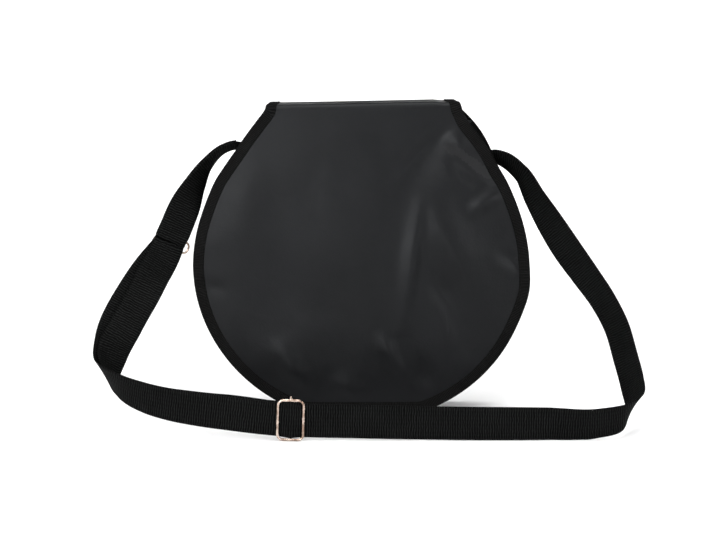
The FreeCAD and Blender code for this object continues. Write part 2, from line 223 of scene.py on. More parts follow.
def make_floor():
    """The paper's profile, from its middle outwards and up, turned once round the bag."""
    profile = [(FLOOR_RADIUS, 0.0)]
    for step in range(1, CURVE_STEPS + 1):
        turn = math.pi / 2 * step / CURVE_STEPS
        profile.append((FLOOR_RADIUS + FLOOR_CURVE * math.sin(turn), FLOOR_CURVE * (1 - math.cos(turn))))
    profile.append((FLOOR_RADIUS + FLOOR_CURVE, WALL_HEIGHT))
    count = FLOOR_SEGMENTS
    vertices = [(r * math.cos(math.tau * k / count), r * math.sin(math.tau * k / count), z)
                for r, z in profile for k in range(count)]
    faces = [tuple(range(count))]
    for i in range(len(profile) - 1):
        for k in range(count):
            a, b = i * count + k, i * count + (k + 1) % count
            faces.append((b, a, a + count, b + count))
    mesh = bpy.data.meshes.new("studio_floor")
    mesh.from_pydata(vertices, [], faces)
    for polygon in mesh.polygons:
        polygon.use_smooth = True
    mesh.materials.append(plain_material("pale_paper", (0.93, 0.93, 0.93), 0.9))
    made = bpy.data.objects.new("studio_floor", mesh)
    scene.collection.objects.link(made)
    return made


floor = make_floor()
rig.stage(floor)
print("floor:", len(floor.data.polygons), "faces")

# %% [markdown]
# ## Light
# Black cloth shows its shape only by what it reflects, so the softboxes are placed for that: a strong one
# in front on the left draws the folds, a weaker one on the right opens their shadows, one from above
# carries light over the bend at the top, and one behind lifts the back. Area lights are used, because
# their size sets how soft the glints are. A broad light from straight above and a ring of lamps on the
# wall keep floor and wall white without touching the upright front.

# %% Lights
SOFTBOXES = [   # name, place, target, size, power
    ("key_softbox", (-0.95, -1.9, 0.92), (0, 0, 0.2), (0.85, 0.85), 34),
    ("fill_softbox", (1.35, -1.8, 1.0), (0, 0, 0.2), (0.5, 0.7), 16),
    ("top_softbox", (-0.3, -1.25, 1.75), (0, 0, 0.3), (1.2, 0.4), 12),
    ("back_softbox", (1.5, 2.0, 0.9), (0, 0, 0.2), (0.8, 0.8), 12),
]
WALL_LAMPS, WALL_LAMP_SIZE, WALL_LAMP_POWER = 6, (2.6, 0.8), 48
LAMP_OUT, LAMP_UP, LIT_OUT, LIT_UP = 2.6, 2.6, 4.6, 0.2          # where they hang, and where they point
OVERHEAD_STRENGTH, OVERHEAD_SPREAD, ROOM_STRENGTH = 2.5, math.radians(50), 0.10


def area_light(name, place, target, size, power):
    data = bpy.data.lights.new(name, "AREA")
    data.shape, data.size, data.size_y, data.energy = "RECTANGLE", size[0], size[1], power
    light = bpy.data.objects.new(name, data)
    light.location = place
    light.rotation_euler = (Vector(target) - Vector(place)).to_track_quat("-Z", "Y").to_euler()
    scene.collection.objects.link(light)


for row in SOFTBOXES:
    area_light(*row)
for k in range(WALL_LAMPS):
    turn = math.tau * k / WALL_LAMPS + math.pi / 2
    outwards = Vector((math.cos(turn), math.sin(turn), 0))
    area_light("wall_wash_%d" % k, outwards * LAMP_OUT + Vector((0, 0, LAMP_UP)),
               outwards * LIT_OUT + Vector((0, 0, LIT_UP)), WALL_LAMP_SIZE, WALL_LAMP_POWER)

overhead = bpy.data.lights.new("overhead_light", "SUN")
overhead.energy, overhead.angle = OVERHEAD_STRENGTH, OVERHEAD_SPREAD
scene.collection.objects.link(bpy.data.objects.new("overhead_light", overhead))

world = bpy.data.worlds.new("white_room")
world.use_nodes = True
world.node_tree.nodes["Background"].inputs["Color"].default_value = (1, 1, 1, 1)
world.node_tree.nodes["Background"].inputs["Strength"].default_value = ROOM_STRENGTH
scene.world = world
scene.view_settings.view_transform = "Standard"
print("lights:", len(SOFTBOXES) + WALL_LAMPS + 1)

# %% [markdown]
# ## Steps that the finishes share
# Every finish is procedural: noise and waves stand for weave, wear and draw marks, so nothing has to be
# painted and no seam shows. Each finish is a tree of nodes, and wiring those by hand takes many lines, so
# the steps that return in every tree come first as small helpers.

# %% Helpers to add nodes
def node(tree, kind, inputs=None, **settings):
    """Adds a node; inputs maps a socket to a value or to another node's output."""
    made = tree.nodes.new(kind)
    for key, value in settings.items():
        setattr(made, key, value)
    for key, value in (inputs or {}).items():
        if isinstance(value, bpy.types.NodeSocket):
            tree.links.new(value, made.inputs[key])
        else:
            made.inputs[key].default_value = value
    return made


def maths(tree, operation, first, second=0.0, third=0.5):
    """One sum; the third value is what MULTIPLY_ADD adds."""
    return node(tree, "ShaderNodeMath", {0: first, 1: second, 2: third}, operation=operation).outputs[0]


def weighted(tree, *parts):
    """The sum of several outputs, each with its weight."""
    total = None
    for output, weight in parts:
        share = maths(tree, "MULTIPLY", output, weight)
        total = share if total is None else maths(tree, "ADD", total, share)
    return total


def cloud(tree, place, scale, detail):
    """Noise; the larger the scale, the finer its grain."""
    return node(tree, "ShaderNodeTexNoise", {"Vector": place, "Scale": scale, "Detail": detail}).outputs["Fac"]


def ripple(tree, coordinate, pitch):
    """-1 to 1 and back, once for each pitch."""
    return maths(tree, "SINE", maths(tree, "MULTIPLY", coordinate, math.tau / pitch))

# %% Helpers for a whole material
DULLEST, BRIGHTEST = 0.3, 0.7                      # the part of a noise that roughness follows


def new_material(name):
    """A material with its tree, its shader and the coordinates of the piece it is on."""
    material = bpy.data.materials.new(name)
    material.use_nodes = True
    tree = material.node_tree
    return material, tree, tree.nodes["Principled BSDF"], node(tree, "ShaderNodeTexCoord").outputs["Object"]


def colour_by(tree, shader, factor, dark, light):
    """Base colour from dark to light; each is (value of the factor, colour)."""
    made = node(tree, "ShaderNodeValToRGB", {"Fac": factor})
    for element, (position, colour) in zip(made.color_ramp.elements, (dark, light)):
        element.position, element.color = position, (*colour, 1)
    tree.links.new(made.outputs["Color"], shader.inputs["Base Color"])


def roughness_by(tree, shader, factor, low, high):
    spread = node(tree, "ShaderNodeMapRange", {"Value": factor, "From Min": DULLEST, "From Max": BRIGHTEST,
                                               "To Min": low, "To Max": high})
    tree.links.new(spread.outputs["Result"], shader.inputs["Roughness"])


def bump_by(tree, shader, height, strength, distance):
    bump = node(tree, "ShaderNodeBump", {"Height": height, "Strength": strength, "Distance": distance})
    tree.links.new(bump.outputs["Normal"], shader.inputs["Normal"])

# %% [markdown]
# ## Coated fabric
# The bag is cut from a dark woven cloth under a thin plastic film. The film gives it broad soft glints,
# and the weave below shows as a fine bump. The inside of the cloth has no film, so the same recipe makes
# it rougher and a little lighter. The pattern is in the piece's own coordinates, since it is far finer
# than any bend of the cloth.

# %% Coated fabric
CLOTH_THREADS = 1.5 * MM                           # one thread over, one under


def coated_fabric(name, dark, light, roughness):
    """Woven cloth under a satin film, with soft cloudy variation."""
    material, tree, shader, place = new_material(name)
    grain = cloud(tree, place, 420.0, 2.0)
    mixed = weighted(tree, (cloud(tree, place, 9.0, 3.0), 0.7), (grain, 0.3))
    colour_by(tree, shader, mixed, (0.35, dark), (0.68, light))
    roughness_by(tree, shader, mixed, roughness - 0.05, roughness + 0.08)
    axes = node(tree, "ShaderNodeSeparateXYZ", {"Vector": place}).outputs
    warp, weft = (ripple(tree, axes[axis], CLOTH_THREADS) for axis in "XZ")
    weave = maths(tree, "MULTIPLY", warp, weft)
    bump_by(tree, shader, weighted(tree, (weave, 0.35), (grain, 1.2)), 0.35, 0.00025)
    shader.inputs["Specular IOR Level"].default_value = 0.15
    shader.inputs["Specular Tint"].default_value = (0.94, 0.97, 1.0, 1)
    return material


fabric_finish = coated_fabric("coated_fabric_finish", (0.0008, 0.0009, 0.0011), (0.0026, 0.0027, 0.0032), 0.38)
lining_finish = coated_fabric("fabric_inside_finish", (0.006, 0.006, 0.0065), (0.012, 0.012, 0.0125), 0.7)
print("fabric:", fabric_finish.name, lining_finish.name)

# %% [markdown]
# ## Webbing and binding tape
# Strap and tapes are matt woven polypropylene with ribs across them. The ribs have to follow each strip round its
# bends, so they read a UV map that the strip carries, in metres along and across it. A little noise shifts the ribs,
# as a loom does. The colour is darker where the weave is low, which is painted shade in the grooves between the ribs,
# and fuzz and wear break it up. The pocket's tapes take a darker copy of the tape, which is painted shade for the
# shade they lie in behind the flap.

# %% Webbing and binding tape
def woven_strip(name, dark, light, rib, line, strength):
    """A narrow woven strip: ribs across it, and the lines of its warp along it."""
    material, tree, shader, place = new_material(name)
    uv = node(tree, "ShaderNodeUVMap", uv_map="strip").outputs["UV"]
    axes = node(tree, "ShaderNodeSeparateXYZ", {"Vector": uv}).outputs
    shifted = maths(tree, "ADD", axes["X"], maths(tree, "MULTIPLY", cloud(tree, place, 160.0, 1.0), rib * 0.9))
    ribs, lines = (maths(tree, "MULTIPLY_ADD", ripple(tree, coordinate, pitch), 0.5)
                   for coordinate, pitch in ((shifted, rib), (axes["Y"], line)))
    woven = maths(tree, "MULTIPLY", ribs, maths(tree, "MULTIPLY_ADD", lines, 0.5))
    height = weighted(tree, (ribs, 0.45), (woven, 0.35), (cloud(tree, place, 900.0, 2.0), 0.3))
    # Darker where the weave is low: painted shade in the grooves, with noise for wear.
    groove_shade_and_wear = weighted(tree, (height, 0.8), (cloud(tree, place, 30.0, 3.0), 0.25))
    colour_by(tree, shader, groove_shade_and_wear, (0.38, dark), (0.84, light))
    bump_by(tree, shader, height, strength, 0.0006)
    shader.inputs["Roughness"].default_value = 0.75
    shader.inputs["Specular IOR Level"].default_value = 0.03
    return material


webbing_finish = woven_strip("webbing_finish", (0.0001, 0.0001, 0.0001), (0.0086, 0.0092, 0.0090),
                             2.65 * MM, 4.7 * MM, 1.0)
tape_finish = woven_strip("binding_tape_finish", (0.0002, 0.0002, 0.0002), (0.0094, 0.0094, 0.0092),
                          1.8 * MM, 2.2 * MM, 0.7)
# The pocket's tapes: the same tape with darker colours, which is painted shade for the shade behind the flap.
pocket_tape_finish = woven_strip("pocket_tape_finish", (0.0001, 0.0001, 0.0001), (0.0026, 0.0026, 0.0026),
                                 2.2 * MM, 2.6 * MM, 0.9)
print("strips:", webbing_finish.name, tape_finish.name, pocket_tape_finish.name)

# %% [markdown]
# ## Plated wire, thread and pile
# Ring and slider are bent from steel wire with a warm plating that has fine draw marks. One noise sets its colour and
# roughness, and its darker patches are partly dull plating and partly painted reflection: they stand for the dark
# surroundings that the white room doesn't give the metal to reflect. The ring is the duller, darker one. Thread, hooks
# and loops are nylon, and all that shows of it is fine noise, so one recipe serves both with its own fineness.

# %% Plated wire
def plated_wire(name, dull_colour, bright_colour):
    material, tree, shader, place = new_material(name)
    # Darker patches: dull plating, and painted dark reflections that the white room lacks.
    dull_and_painted_reflection = cloud(tree, place, 180.0, 4.0)
    colour_by(tree, shader, dull_and_painted_reflection, (0.38, dull_colour), (0.62, bright_colour))
    roughness_by(tree, shader, dull_and_painted_reflection, 0.16, 0.32)
    bump_by(tree, shader, cloud(tree, place, 1500.0, 2.0), 0.15, 0.0001)
    shader.inputs["Metallic"].default_value = 1.0
    return material


metal_finish = plated_wire("plated_wire_finish", (0.24, 0.165, 0.125), (0.60, 0.49, 0.42))
ring_finish = plated_wire("ring_wire_finish", (0.15, 0.105, 0.08), (0.40, 0.32, 0.26))
print("wire:", metal_finish.name, ring_finish.name)

# %% Nylon thread and pile
def black_nylon(name, fineness, detail, dark, light, strength, depth, roughness, gloss):
    material, tree, shader, place = new_material(name)
    grain = cloud(tree, place, fineness, detail)
    colour_by(tree, shader, grain, (0.35, dark), (0.7, light))
    bump_by(tree, shader, grain, strength, depth)
    shader.inputs["Roughness"].default_value = roughness
    shader.inputs["Specular IOR Level"].default_value = gloss
    return material


thread_finish = black_nylon("thread_finish", 1400.0, 2.0, (0.0008, 0.0008, 0.0008), (0.004, 0.004, 0.004),
                            0.5, 0.0001, 0.8, 0.1)
pile_finish = black_nylon("nylon_pile_finish", 700.0, 3.0, (0.004, 0.004, 0.004), (0.018, 0.018, 0.019),
                          0.6, 0.0003, 0.6, 0.5)
print("nylon:", thread_finish.name, pile_finish.name)

# %% [markdown]
# ## Where the ring hangs
# A short tab on the left of the bag ends in a small ring, and the strap turns back through it. Both need
# the ring's place and its three directions: across, down and towards the front.

# %% Webbing and ring
WEB_WIDTH, WEB = 0.037, 0.0016
RING = Vector((-0.2165, -0.034, 0.1995))
RING_ACROSS = Vector((-0.88, -0.20, 0.43)).normalized()
RING_DOWN = Vector((-0.50, -0.12, -0.86))
RING_DOWN = (RING_DOWN - RING_ACROSS * RING_DOWN.dot(RING_ACROSS)).normalized()
RING_FRONT = RING_ACROSS.cross(RING_DOWN)
RING_WIRE, RING_INSIDE = 0.0024, 0.0084
AIR = 0.0003                                       # between the wire and the webbing round it
TURN = RING_WIRE / 2 + AIR + WEB / 2               # radius of the webbing's middle round the wire
UPPER = RING - RING_DOWN * (RING_INSIDE + RING_WIRE) / 2
LOWER = RING + RING_DOWN * (RING_INSIDE + RING_WIRE) / 2
print("webbing %.0f mm wide, ring at" % (WEB_WIDTH / MM), tuple(RING))

# %% [markdown]
# ## The shoulder strap's route
# Webbing is flat, so a route needs more than a line: each place also says which way the webbing's width
# points. The strap falls on the right, turns over at the corner, runs along the floor in front of the bag
# and climbs on the left to the ring; from there a second layer returns behind the first. The same places
# are the middle line of the solids in the frame. They are in millimetres.

# %% Places of the long layer, the returning layer and the short tab
LONG_PLACES = [
    (148.5, -2, 293.5, 0.04, -0.89, 0.45), (153.5, -3.5, 293, 0.07, -0.88, 0.46),
    (164, -8, 289.5, 0.20, -0.87, 0.44), (181, -18, 276, 0.36, -0.88, 0.30),
    (197, -29, 248, 0.51, -0.75, 0.35), (213.5, -40, 221, 0.66, -0.59, 0.40),
    (231, -51, 194, 0.75, -0.52, 0.42), (250.5, -62, 167, 0.70, -0.58, 0.40),
    (269.5, -73, 140, 0.64, -0.66, 0.38), (284, -84, 112, 0.61, -0.69, 0.32),
    (293, -97, 80, 0.60, -0.70, 0.34), (299, -113, 54, 0.55, -0.64, 0.50),
    (299.5, -133, 36, 0.42, -0.47, 0.76), (286, -149, 24, 0.17, -0.36, 0.92),
    (257, -157, 18.7, 0, -0.30, 0.95),
    (200, -159.5, 19.0, 0, -0.10, 1), (120, -159.5, 19.2, 0, 0, 1), (75, -159.5, 19.8, 0, 0, 1),
    (0, -159.5, 21.2, 0, 0, 1), (-100, -159.5, 24.8, 0, 0, 1), (-140, -159.5, 29.6, 0, 0, 1),
    (-175, -155, 33.3, 0, 0, 1), (-210, -147, 37.7, 0, -0.08, 1), (-240, -137, 43.4, -0.06, -0.24, 0.97),
    (-267, -124, 53.2, -0.16, -0.38, 0.91), (-286, -102, 64.5, -0.36, -0.50, 0.79),
    (-283.5, -76, 88.5, -0.70, -0.36, 0.62), (-275, -59, 113, -0.85, -0.10, 0.50),
    (-257.5, -50, 144, -0.86, -0.10, 0.50), (-242, -43, 167, -0.87, -0.16, 0.47),
]
RETURN_PLACES = [
    (-190, -149, 35.2, 0, 0, 1), (-210, -143.5, 37.0, 0, -0.06, 1), (-235, -132, 41.4, -0.05, -0.22, 0.97),
    (-260.5, -118.3, 49.4, -0.16, -0.38, 0.91), (-277.5, -101, 62.0, -0.42, -0.50, 0.76),
    (-277, -84, 83, -0.74, -0.16, 0.60), (-262.5, -71, 111, -0.80, 0.22, 0.48),
    (-244.5, -61, 143, -0.80, 0.20, 0.48), (-234.5, -52, 163, -0.84, 0.0, 0.49),
]
TAB_PLACES = [
    (-141.5, -2, 307, 0, -0.95, 0.29), (-147, -3, 306, -0.03, -0.95, 0.28),
    (-157.5, -6, 302, -0.08, -0.95, 0.26), (-175.5, -12, 285.2, -0.22, -0.94, 0.27),
    (-188.5, -18, 263, -0.48, -0.79, 0.40),
    (-201, -25, 236, -0.80, -0.35, 0.45),
]


def places(rows):
    return [(Vector(row[:3]) * MM, Vector(row[3:])) for row in rows]


print("places:", len(LONG_PLACES), len(RETURN_PLACES), len(TAB_PLACES))

# %% [markdown]
# ### Meeting the ring
# A strap rarely lies in the middle of its ring. Here the long layer comes in a little to the left and is
# drawn towards the middle as it goes round the wire, so its two layers don't cover each other.

# %% The last places beside the ring
SKEW, SKEW_AT_WIRE, SKEW_REACH = 0.0034, 0.35, 0.012     # how far left, its share at the wire, the way back
BELOW_WIRE, APPROACH = 0.0053, 0.008


def at_ring(side, lead):
    """A place beside the lower wire: side 1 is the layer in front, lead the distance before the turn."""
    skewed = RING_ACROSS * (SKEW * min(1, SKEW_AT_WIRE + lead / SKEW_REACH) if side < 0 else 0)
    return LOWER + RING_DOWN * (BELOW_WIRE + lead) + RING_FRONT * (side * TURN) + skewed, RING_ACROSS


long_route = places(LONG_PLACES) + [at_ring(-1, APPROACH), at_ring(-1, 0)]
return_route = places(RETURN_PLACES) + [at_ring(1, APPROACH), at_ring(1, 0)]
tab_route = places(TAB_PLACES) + [(UPPER - RING_DOWN * (TURN + WEB / 2), RING_ACROSS)]
print("places with the ring's:", len(long_route), len(return_route), len(tab_route))

# %% [markdown]
# ### From places to stations
# Between the places a cubic spline carries both the middle and the direction across, which bends and
# twists the strip smoothly, as a stiff strap lies. Blender's own curves twist by rules of their own, so
# the spline is worked out here, at stations a millimetre or two apart.

# %% Closely spaced stations
def hermite_weights(u):
    """Shares of start value, start slope, end value and end slope at u, and how fast they change."""
    return ((2 * u**3 - 3 * u**2 + 1, u**3 - 2 * u**2 + u, 3 * u**2 - 2 * u**3, u**3 - u**2),
            (6 * u**2 - 6 * u, 3 * u**2 - 4 * u + 1, 6 * u - 6 * u**2, 3 * u**2 - 2 * u))


def stations(route, spacing=0.0016):
    """Points along the route: (middle, across, normal), with across square to the route."""
    values = [np.array([*place, *across.normalized()]) for place, across in route]
    gaps = [float(np.linalg.norm(b[:3] - a[:3])) for a, b in zip(values, values[1:])]
    last = len(values) - 1

    def slope(i):
        if i in (0, last):
            a = 0 if i == 0 else last - 1
            return (values[a + 1] - values[a]) / gaps[a]
        g0, g1 = gaps[i - 1], gaps[i]
        return ((values[i + 1] - values[i]) / g1 * g0 + (values[i] - values[i - 1]) / g0 * g1) / (g0 + g1)

    slopes = [slope(i) for i in range(last + 1)]
    made = []
    for i, gap in enumerate(gaps):
        count = max(2, round(gap / spacing))
        for k in range(count + (i == last - 1)):
            (a, b, c, d), (a1, b1, c1, d1) = hermite_weights(k / count)
            p = a * values[i] + b * gap * slopes[i] + c * values[i + 1] + d * gap * slopes[i + 1]
            change = a1 / gap * values[i] + b1 * slopes[i] + c1 / gap * values[i + 1] + d1 * slopes[i + 1]
            along = Vector(change[:3]).normalized()
            across = Vector(p[3:])
            across = (across - along * across.dot(along)).normalized()
            made.append((Vector(p[:3]), across, along.cross(across)))
    return made


def lengths(line):
    """Distance from the start to each station."""
    steps = [0.0] + [(b[0] - a[0]).length for a, b in zip(line, line[1:])]
    return list(np.cumsum(steps))


long_line, tab_line = stations(long_route), stations(tab_route)
print("long layer %.3f m, tab %.3f m" % (lengths(long_line)[-1], lengths(tab_line)[-1]))

# %% [markdown]
# ## Webbing as a mesh
# A strip of webbing is a thin bar with soft edges. It could be a curve with a bevel, but a curve turns its
# bevel in its own way, and webbing keeps its width where its maker sewed it. So each station gets a
# ring of points, neighbouring rings are joined, and the ends are closed. Round a wire webbing is drawn
# together, which is what the pinches are for. The UV map holds the distance along and across in metres,
# for the weave.

# %% A strip of webbing
def section_points(columns=10):
    """Half the ring runs over the front face, half over the back, round both edges: (across, out)."""
    a, b = WEB_WIDTH / 2, WEB / 2
    front = [(a * (2 * i / columns - 1), b) for i in range(1, columns)]
    edge = [(a - b * 0.35, b * 0.97), (a - b * 0.06, b * 0.55), (a, 0), (a - b * 0.06, -b * 0.55),
            (a - b * 0.35, -b * 0.97)]
    return front + edge + [(-x, -y) for x, y in front] + [(-x, -y) for x, y in edge]


def strip_mesh(name, line, along, pinches=()):
    """A closed strip through the stations; pinches are (distance, share of the width, reach)."""
    ring = section_points()
    count = len(ring)
    vertices, faces, coordinates = [], [], []
    for (middle, across, normal), s in zip(line, along):
        narrow = 1 - sum(share * math.exp(-((s - place) / reach) ** 2) for place, share, reach in pinches)
        for t, out in ring:
            vertices.append(middle + across * (t * narrow) + normal * out)
            coordinates.append((s, t))
    for i in range(len(line) - 1):
        for k in range(count):
            a, b = i * count + k, i * count + (k + 1) % count
            faces.append((a, b, b + count, a + count))
    last = (len(line) - 1) * count
    faces += [tuple(range(count - 1, -1, -1)), tuple(range(last, last + count))]
    mesh = bpy.data.meshes.new(name)
    mesh.from_pydata(vertices, [], faces)
    layer = mesh.uv_layers.new(name="strip")
    for loop in mesh.loops:
        layer.data[loop.index].uv = coordinates[loop.vertex_index]
    return mesh


print("webbing's section: %d points" % len(section_points()))

# %% [markdown]
# ## Putting a mesh in the scene
# Every finished piece goes the same way: its faces are turned outwards, its material is set, and it is
# shaded smooth except across sharp edges. Its object stays at the origin, so its place is in its mesh.

# %% Putting a mesh in the scene
SHARP = math.radians(62)


def add_object(name, mesh, material):
    work = bmesh.new()
    work.from_mesh(mesh)
    bmesh.ops.recalc_face_normals(work, faces=work.faces)
    work.to_mesh(mesh)
    work.free()
    mesh.materials.clear()
    mesh.materials.append(material)
    for polygon in mesh.polygons:
        polygon.use_smooth = True
    mesh.set_sharp_from_angle(angle=SHARP)
    made = bpy.data.objects.new(name, mesh)
    scene.collection.objects.link(made)
    print(name, len(mesh.vertices), "vertices,", len(mesh.polygons), "faces")
    return made

# %% [markdown]
# ## Growing pieces with Geometry Nodes
# Wire, stitches and the pile of hook and loop tape all repeat or follow a line, which is work for a node
# tree. Each tree takes its sizes as named inputs. A helper fills those in by their identifiers, reads the
# result off as a plain mesh and removes the modifier, so that nothing live is left on the piece.

# %% Helpers to build a tree and to read its result
def geometry_tree(name, inputs):
    """A tree with a geometry input and output, and more inputs as (name, kind, default)."""
    tree = bpy.data.node_groups.new(name, "GeometryNodeTree")
    tree.interface.new_socket(name="Geometry", in_out="INPUT", socket_type="NodeSocketGeometry")
    for label, kind, default in inputs:
        socket = tree.interface.new_socket(name=label, in_out="INPUT", socket_type="NodeSocket" + kind)
        if default is not None:
            socket.default_value = default
    tree.interface.new_socket(name="Geometry", in_out="OUTPUT", socket_type="NodeSocketGeometry")
    return tree, tree.nodes.new("NodeGroupInput").outputs, tree.nodes.new("NodeGroupOutput").inputs


def finish_tree(tree, geometry, given, output):
    """Every tree ends the same way: instances made real, then the material."""
    real = node(tree, "GeometryNodeRealizeInstances", {"Geometry": geometry})
    done = node(tree, "GeometryNodeSetMaterial", {"Geometry": real.outputs["Geometry"],
                                                  "Material": given["Material"]})
    tree.links.new(done.outputs["Geometry"], output["Geometry"])


def outward_of(tree):
    """The direction out of the surface that a line's points carry."""
    return node(tree, "GeometryNodeInputNamedAttribute", {"Name": "outward"},
                data_type="FLOAT_VECTOR").outputs["Attribute"]


def random_number(tree, inputs):
    made = node(tree, "FunctionNodeRandomValue", inputs)
    return next(o for o in made.outputs if o.enabled and o.type == "VALUE")

# %% From a tree to a plain mesh
def grown_mesh(name, source, tree, values):
    """The plain mesh that a tree makes from a source mesh with these input values."""
    base = bpy.data.objects.new(name + "_source", source)
    scene.collection.objects.link(base)
    modifier = base.modifiers.new("nodes", "NODES")
    modifier.node_group = tree
    for item in tree.interface.items_tree:
        if item.item_type == "SOCKET" and item.in_out == "INPUT" and item.name in values:
            modifier[item.identifier] = values[item.name]
    mesh = bpy.data.meshes.new_from_object(base.evaluated_get(bpy.context.evaluated_depsgraph_get()))
    mesh.name = name
    base.modifiers.remove(modifier)
    bpy.data.objects.remove(base)
    bpy.data.meshes.remove(source)
    return mesh


def line_mesh(name, points, outward=None, closed=False):
    """A line of edges; outward is stored on its points for what has to lie on a surface."""
    mesh = bpy.data.meshes.new(name)
    edges = [(i, i + 1) for i in range(len(points) - 1)] + ([(len(points) - 1, 0)] if closed else [])
    mesh.from_pydata([tuple(p) for p in points], edges, [])
    if outward is not None:
        attribute = mesh.attributes.new("outward", "FLOAT_VECTOR", "POINT")
        for item, value in zip(attribute.data, outward):
            item.vector = tuple(value)
    return mesh

# %% [markdown]
# ### Wire
# Ring and slider are bent from round wire. The tree carries a round section along the line and closes its
# ends. A curve object with a bevel would do the same; the tree keeps the radius as an input.

# %% Wire along a line
def wire_tree():
    tree, given, output = geometry_tree("bent_wire", [
        ("Wire Radius", "Float", 0.0015), ("Sides", "Int", 14), ("Material", "Material", None)])
    line = node(tree, "GeometryNodeMeshToCurve", {"Mesh": given["Geometry"]}).outputs["Curve"]
    section = node(tree, "GeometryNodeCurvePrimitiveCircle", {"Resolution": given["Sides"],
                                                              "Radius": given["Wire Radius"]})
    swept = node(tree, "GeometryNodeCurveToMesh", {"Curve": line, "Profile Curve": section.outputs["Curve"],
                                                   "Fill Caps": True}).outputs["Mesh"]
    smooth = node(tree, "GeometryNodeSetShadeSmooth", {"Geometry": swept}).outputs["Geometry"]
    finish_tree(tree, smooth, given, output)
    return tree


bent_wire = wire_tree()
print("bent_wire:", len(bent_wire.nodes), "nodes")

# %% [markdown]
# ### Stitches
# A machine stitch is a short, slightly swollen bit of thread that dips into the cloth at both ends. The
# tree sets one small stretched ball for each stitch at an even pitch, turns it along the seam and out of
# the cloth, and varies its length a little.

# %% Stitches along a line
def stitch_tree():
    tree, given, output = geometry_tree("stitch_row", [
        ("Pitch", "Float", 0.0034), ("Stitch Length", "Float", 0.0026), ("Thread Radius", "Float", 0.00035),
        ("Unevenness", "Float", 0.08), ("Seed", "Int", 4), ("Material", "Material", None)])
    line = node(tree, "GeometryNodeMeshToCurve", {"Mesh": given["Geometry"]}).outputs["Curve"]
    points = node(tree, "GeometryNodeCurveToPoints", {"Curve": line, "Length": given["Pitch"]},
                  mode="LENGTH").outputs
    thread = node(tree, "GeometryNodeMeshUVSphere", {"Segments": 6, "Rings": 5, "Radius": 1.0})
    shaped = node(tree, "GeometryNodeTransform", {
        "Geometry": thread.outputs["Mesh"],
        "Scale": node(tree, "ShaderNodeCombineXYZ", {
            "X": given["Thread Radius"], "Y": given["Thread Radius"],
            "Z": maths(tree, "MULTIPLY", given["Stitch Length"], 0.5)}).outputs["Vector"]})
    laid = node(tree, "FunctionNodeAlignRotationToVector", {"Vector": points["Tangent"]}, axis="Z")
    turned = node(tree, "FunctionNodeAlignRotationToVector", {
        "Rotation": laid.outputs["Rotation"], "Vector": outward_of(tree)}, axis="X", pivot_axis="Z")
    low = maths(tree, "SUBTRACT", 1.0, given["Unevenness"])
    high = maths(tree, "ADD", given["Unevenness"], 1.0)
    stretch = random_number(tree, {"Min": low, "Max": high, "Seed": given["Seed"]})
    spread = node(tree, "GeometryNodeInstanceOnPoints", {
        "Points": points["Points"], "Instance": shaped.outputs["Geometry"],
        "Rotation": turned.outputs["Rotation"],
        "Scale": node(tree, "ShaderNodeCombineXYZ", {"X": 1.0, "Y": 1.0, "Z": stretch}).outputs["Vector"]})
    smooth = node(tree, "GeometryNodeSetShadeSmooth", {"Geometry": spread.outputs["Instances"]})
    finish_tree(tree, smooth.outputs["Geometry"], given, output)
    return tree


stitch_row = stitch_tree()
print("stitch_row:", len(stitch_row.nodes), "nodes")

# %% Rows of stitches as one piece
STITCH = {"Pitch": 0.0034, "Stitch Length": 0.0026, "Thread Radius": 0.00032, "Seed": 4,
          "Material": thread_finish}


def stitches(name, rows):
    """One piece with the stitches of several rows; a row is (points, outward directions)."""
    work = bmesh.new()
    for points, outward in rows:
        mesh = grown_mesh(name, line_mesh(name, points, outward), stitch_row, STITCH)
        work.from_mesh(mesh)
        bpy.data.meshes.remove(mesh)
    joined = bpy.data.meshes.new(name)
    work.to_mesh(joined)
    work.free()
    return add_object(name, joined, thread_finish)


print("one stitch every %.1f mm" % (STITCH["Pitch"] / MM))

# %% [markdown]
# ## The round outline
# Flap, panels and binding all follow one outline: an ellipse below the waist and a slack curve up to the
# narrow mouth. A table of half widths gives the slack part, because no simple rule does, and a smooth
# curve runs through it. Heights and widths are in millimetres here, because that is how a pattern maker
# writes them.

# %% Sides of the flap and of the pocket
HEIGHT, WAIST, REACH, HALF = 357.0, 173.0, 181.5, 191.0
FLAP_SIDES = [    # height, left side, right side
    (358, -104.5, 108), (348, -109, 114.2), (337, -117.3, 119.5), (326, -125.6, 127.8),
    (314.6, -134, 136.6), (303, -141.8, 144.4), (292, -149.6, 150.9), (281, -157.2, 156.8),
    (271.8, -163.3, 162.6), (253.7, -171.9, 171.5), (235.6, -178.9, 178.6), (217.4, -184.7, 184.4),
    (199.2, -188.6, 188.4), (186, -190.3, 190.3), (173, -191, 191)]
BODY_SIDES = [
    (357, -101.0, 103.5), (348, -107.0, 113.5), (337, -116, 124.8), (326, -124.5, 134.2),
    (314.6, -133, 141.3), (303, -141, 147.0), (292, -149, 151.5), (281, -156.7, 157.2),
    (271.8, -163, 162.8), (253.7, -171.7, 171.6), (235.6, -178.8, 178.6), (217.4, -184.6, 184.4),
    (199.2, -188.5, 188.4), (186, -190.3, 190.3), (173, -191, 191)]


def hermite(xs, ys, x):
    """A smooth curve through (xs, ys), xs rising; straight past its ends."""
    xs, ys, x = np.array(xs, float), np.array(ys, float), np.atleast_1d(np.array(x, float))
    slope = np.gradient(ys, xs)
    i = np.clip(np.searchsorted(xs, x) - 1, 0, len(xs) - 2)
    gap = xs[i + 1] - xs[i]
    a, b, c, d = hermite_weights(np.clip((x - xs[i]) / gap, 0, 1))[0]
    return a * ys[i] + b * gap * slope[i] + c * ys[i + 1] + d * gap * slope[i + 1]


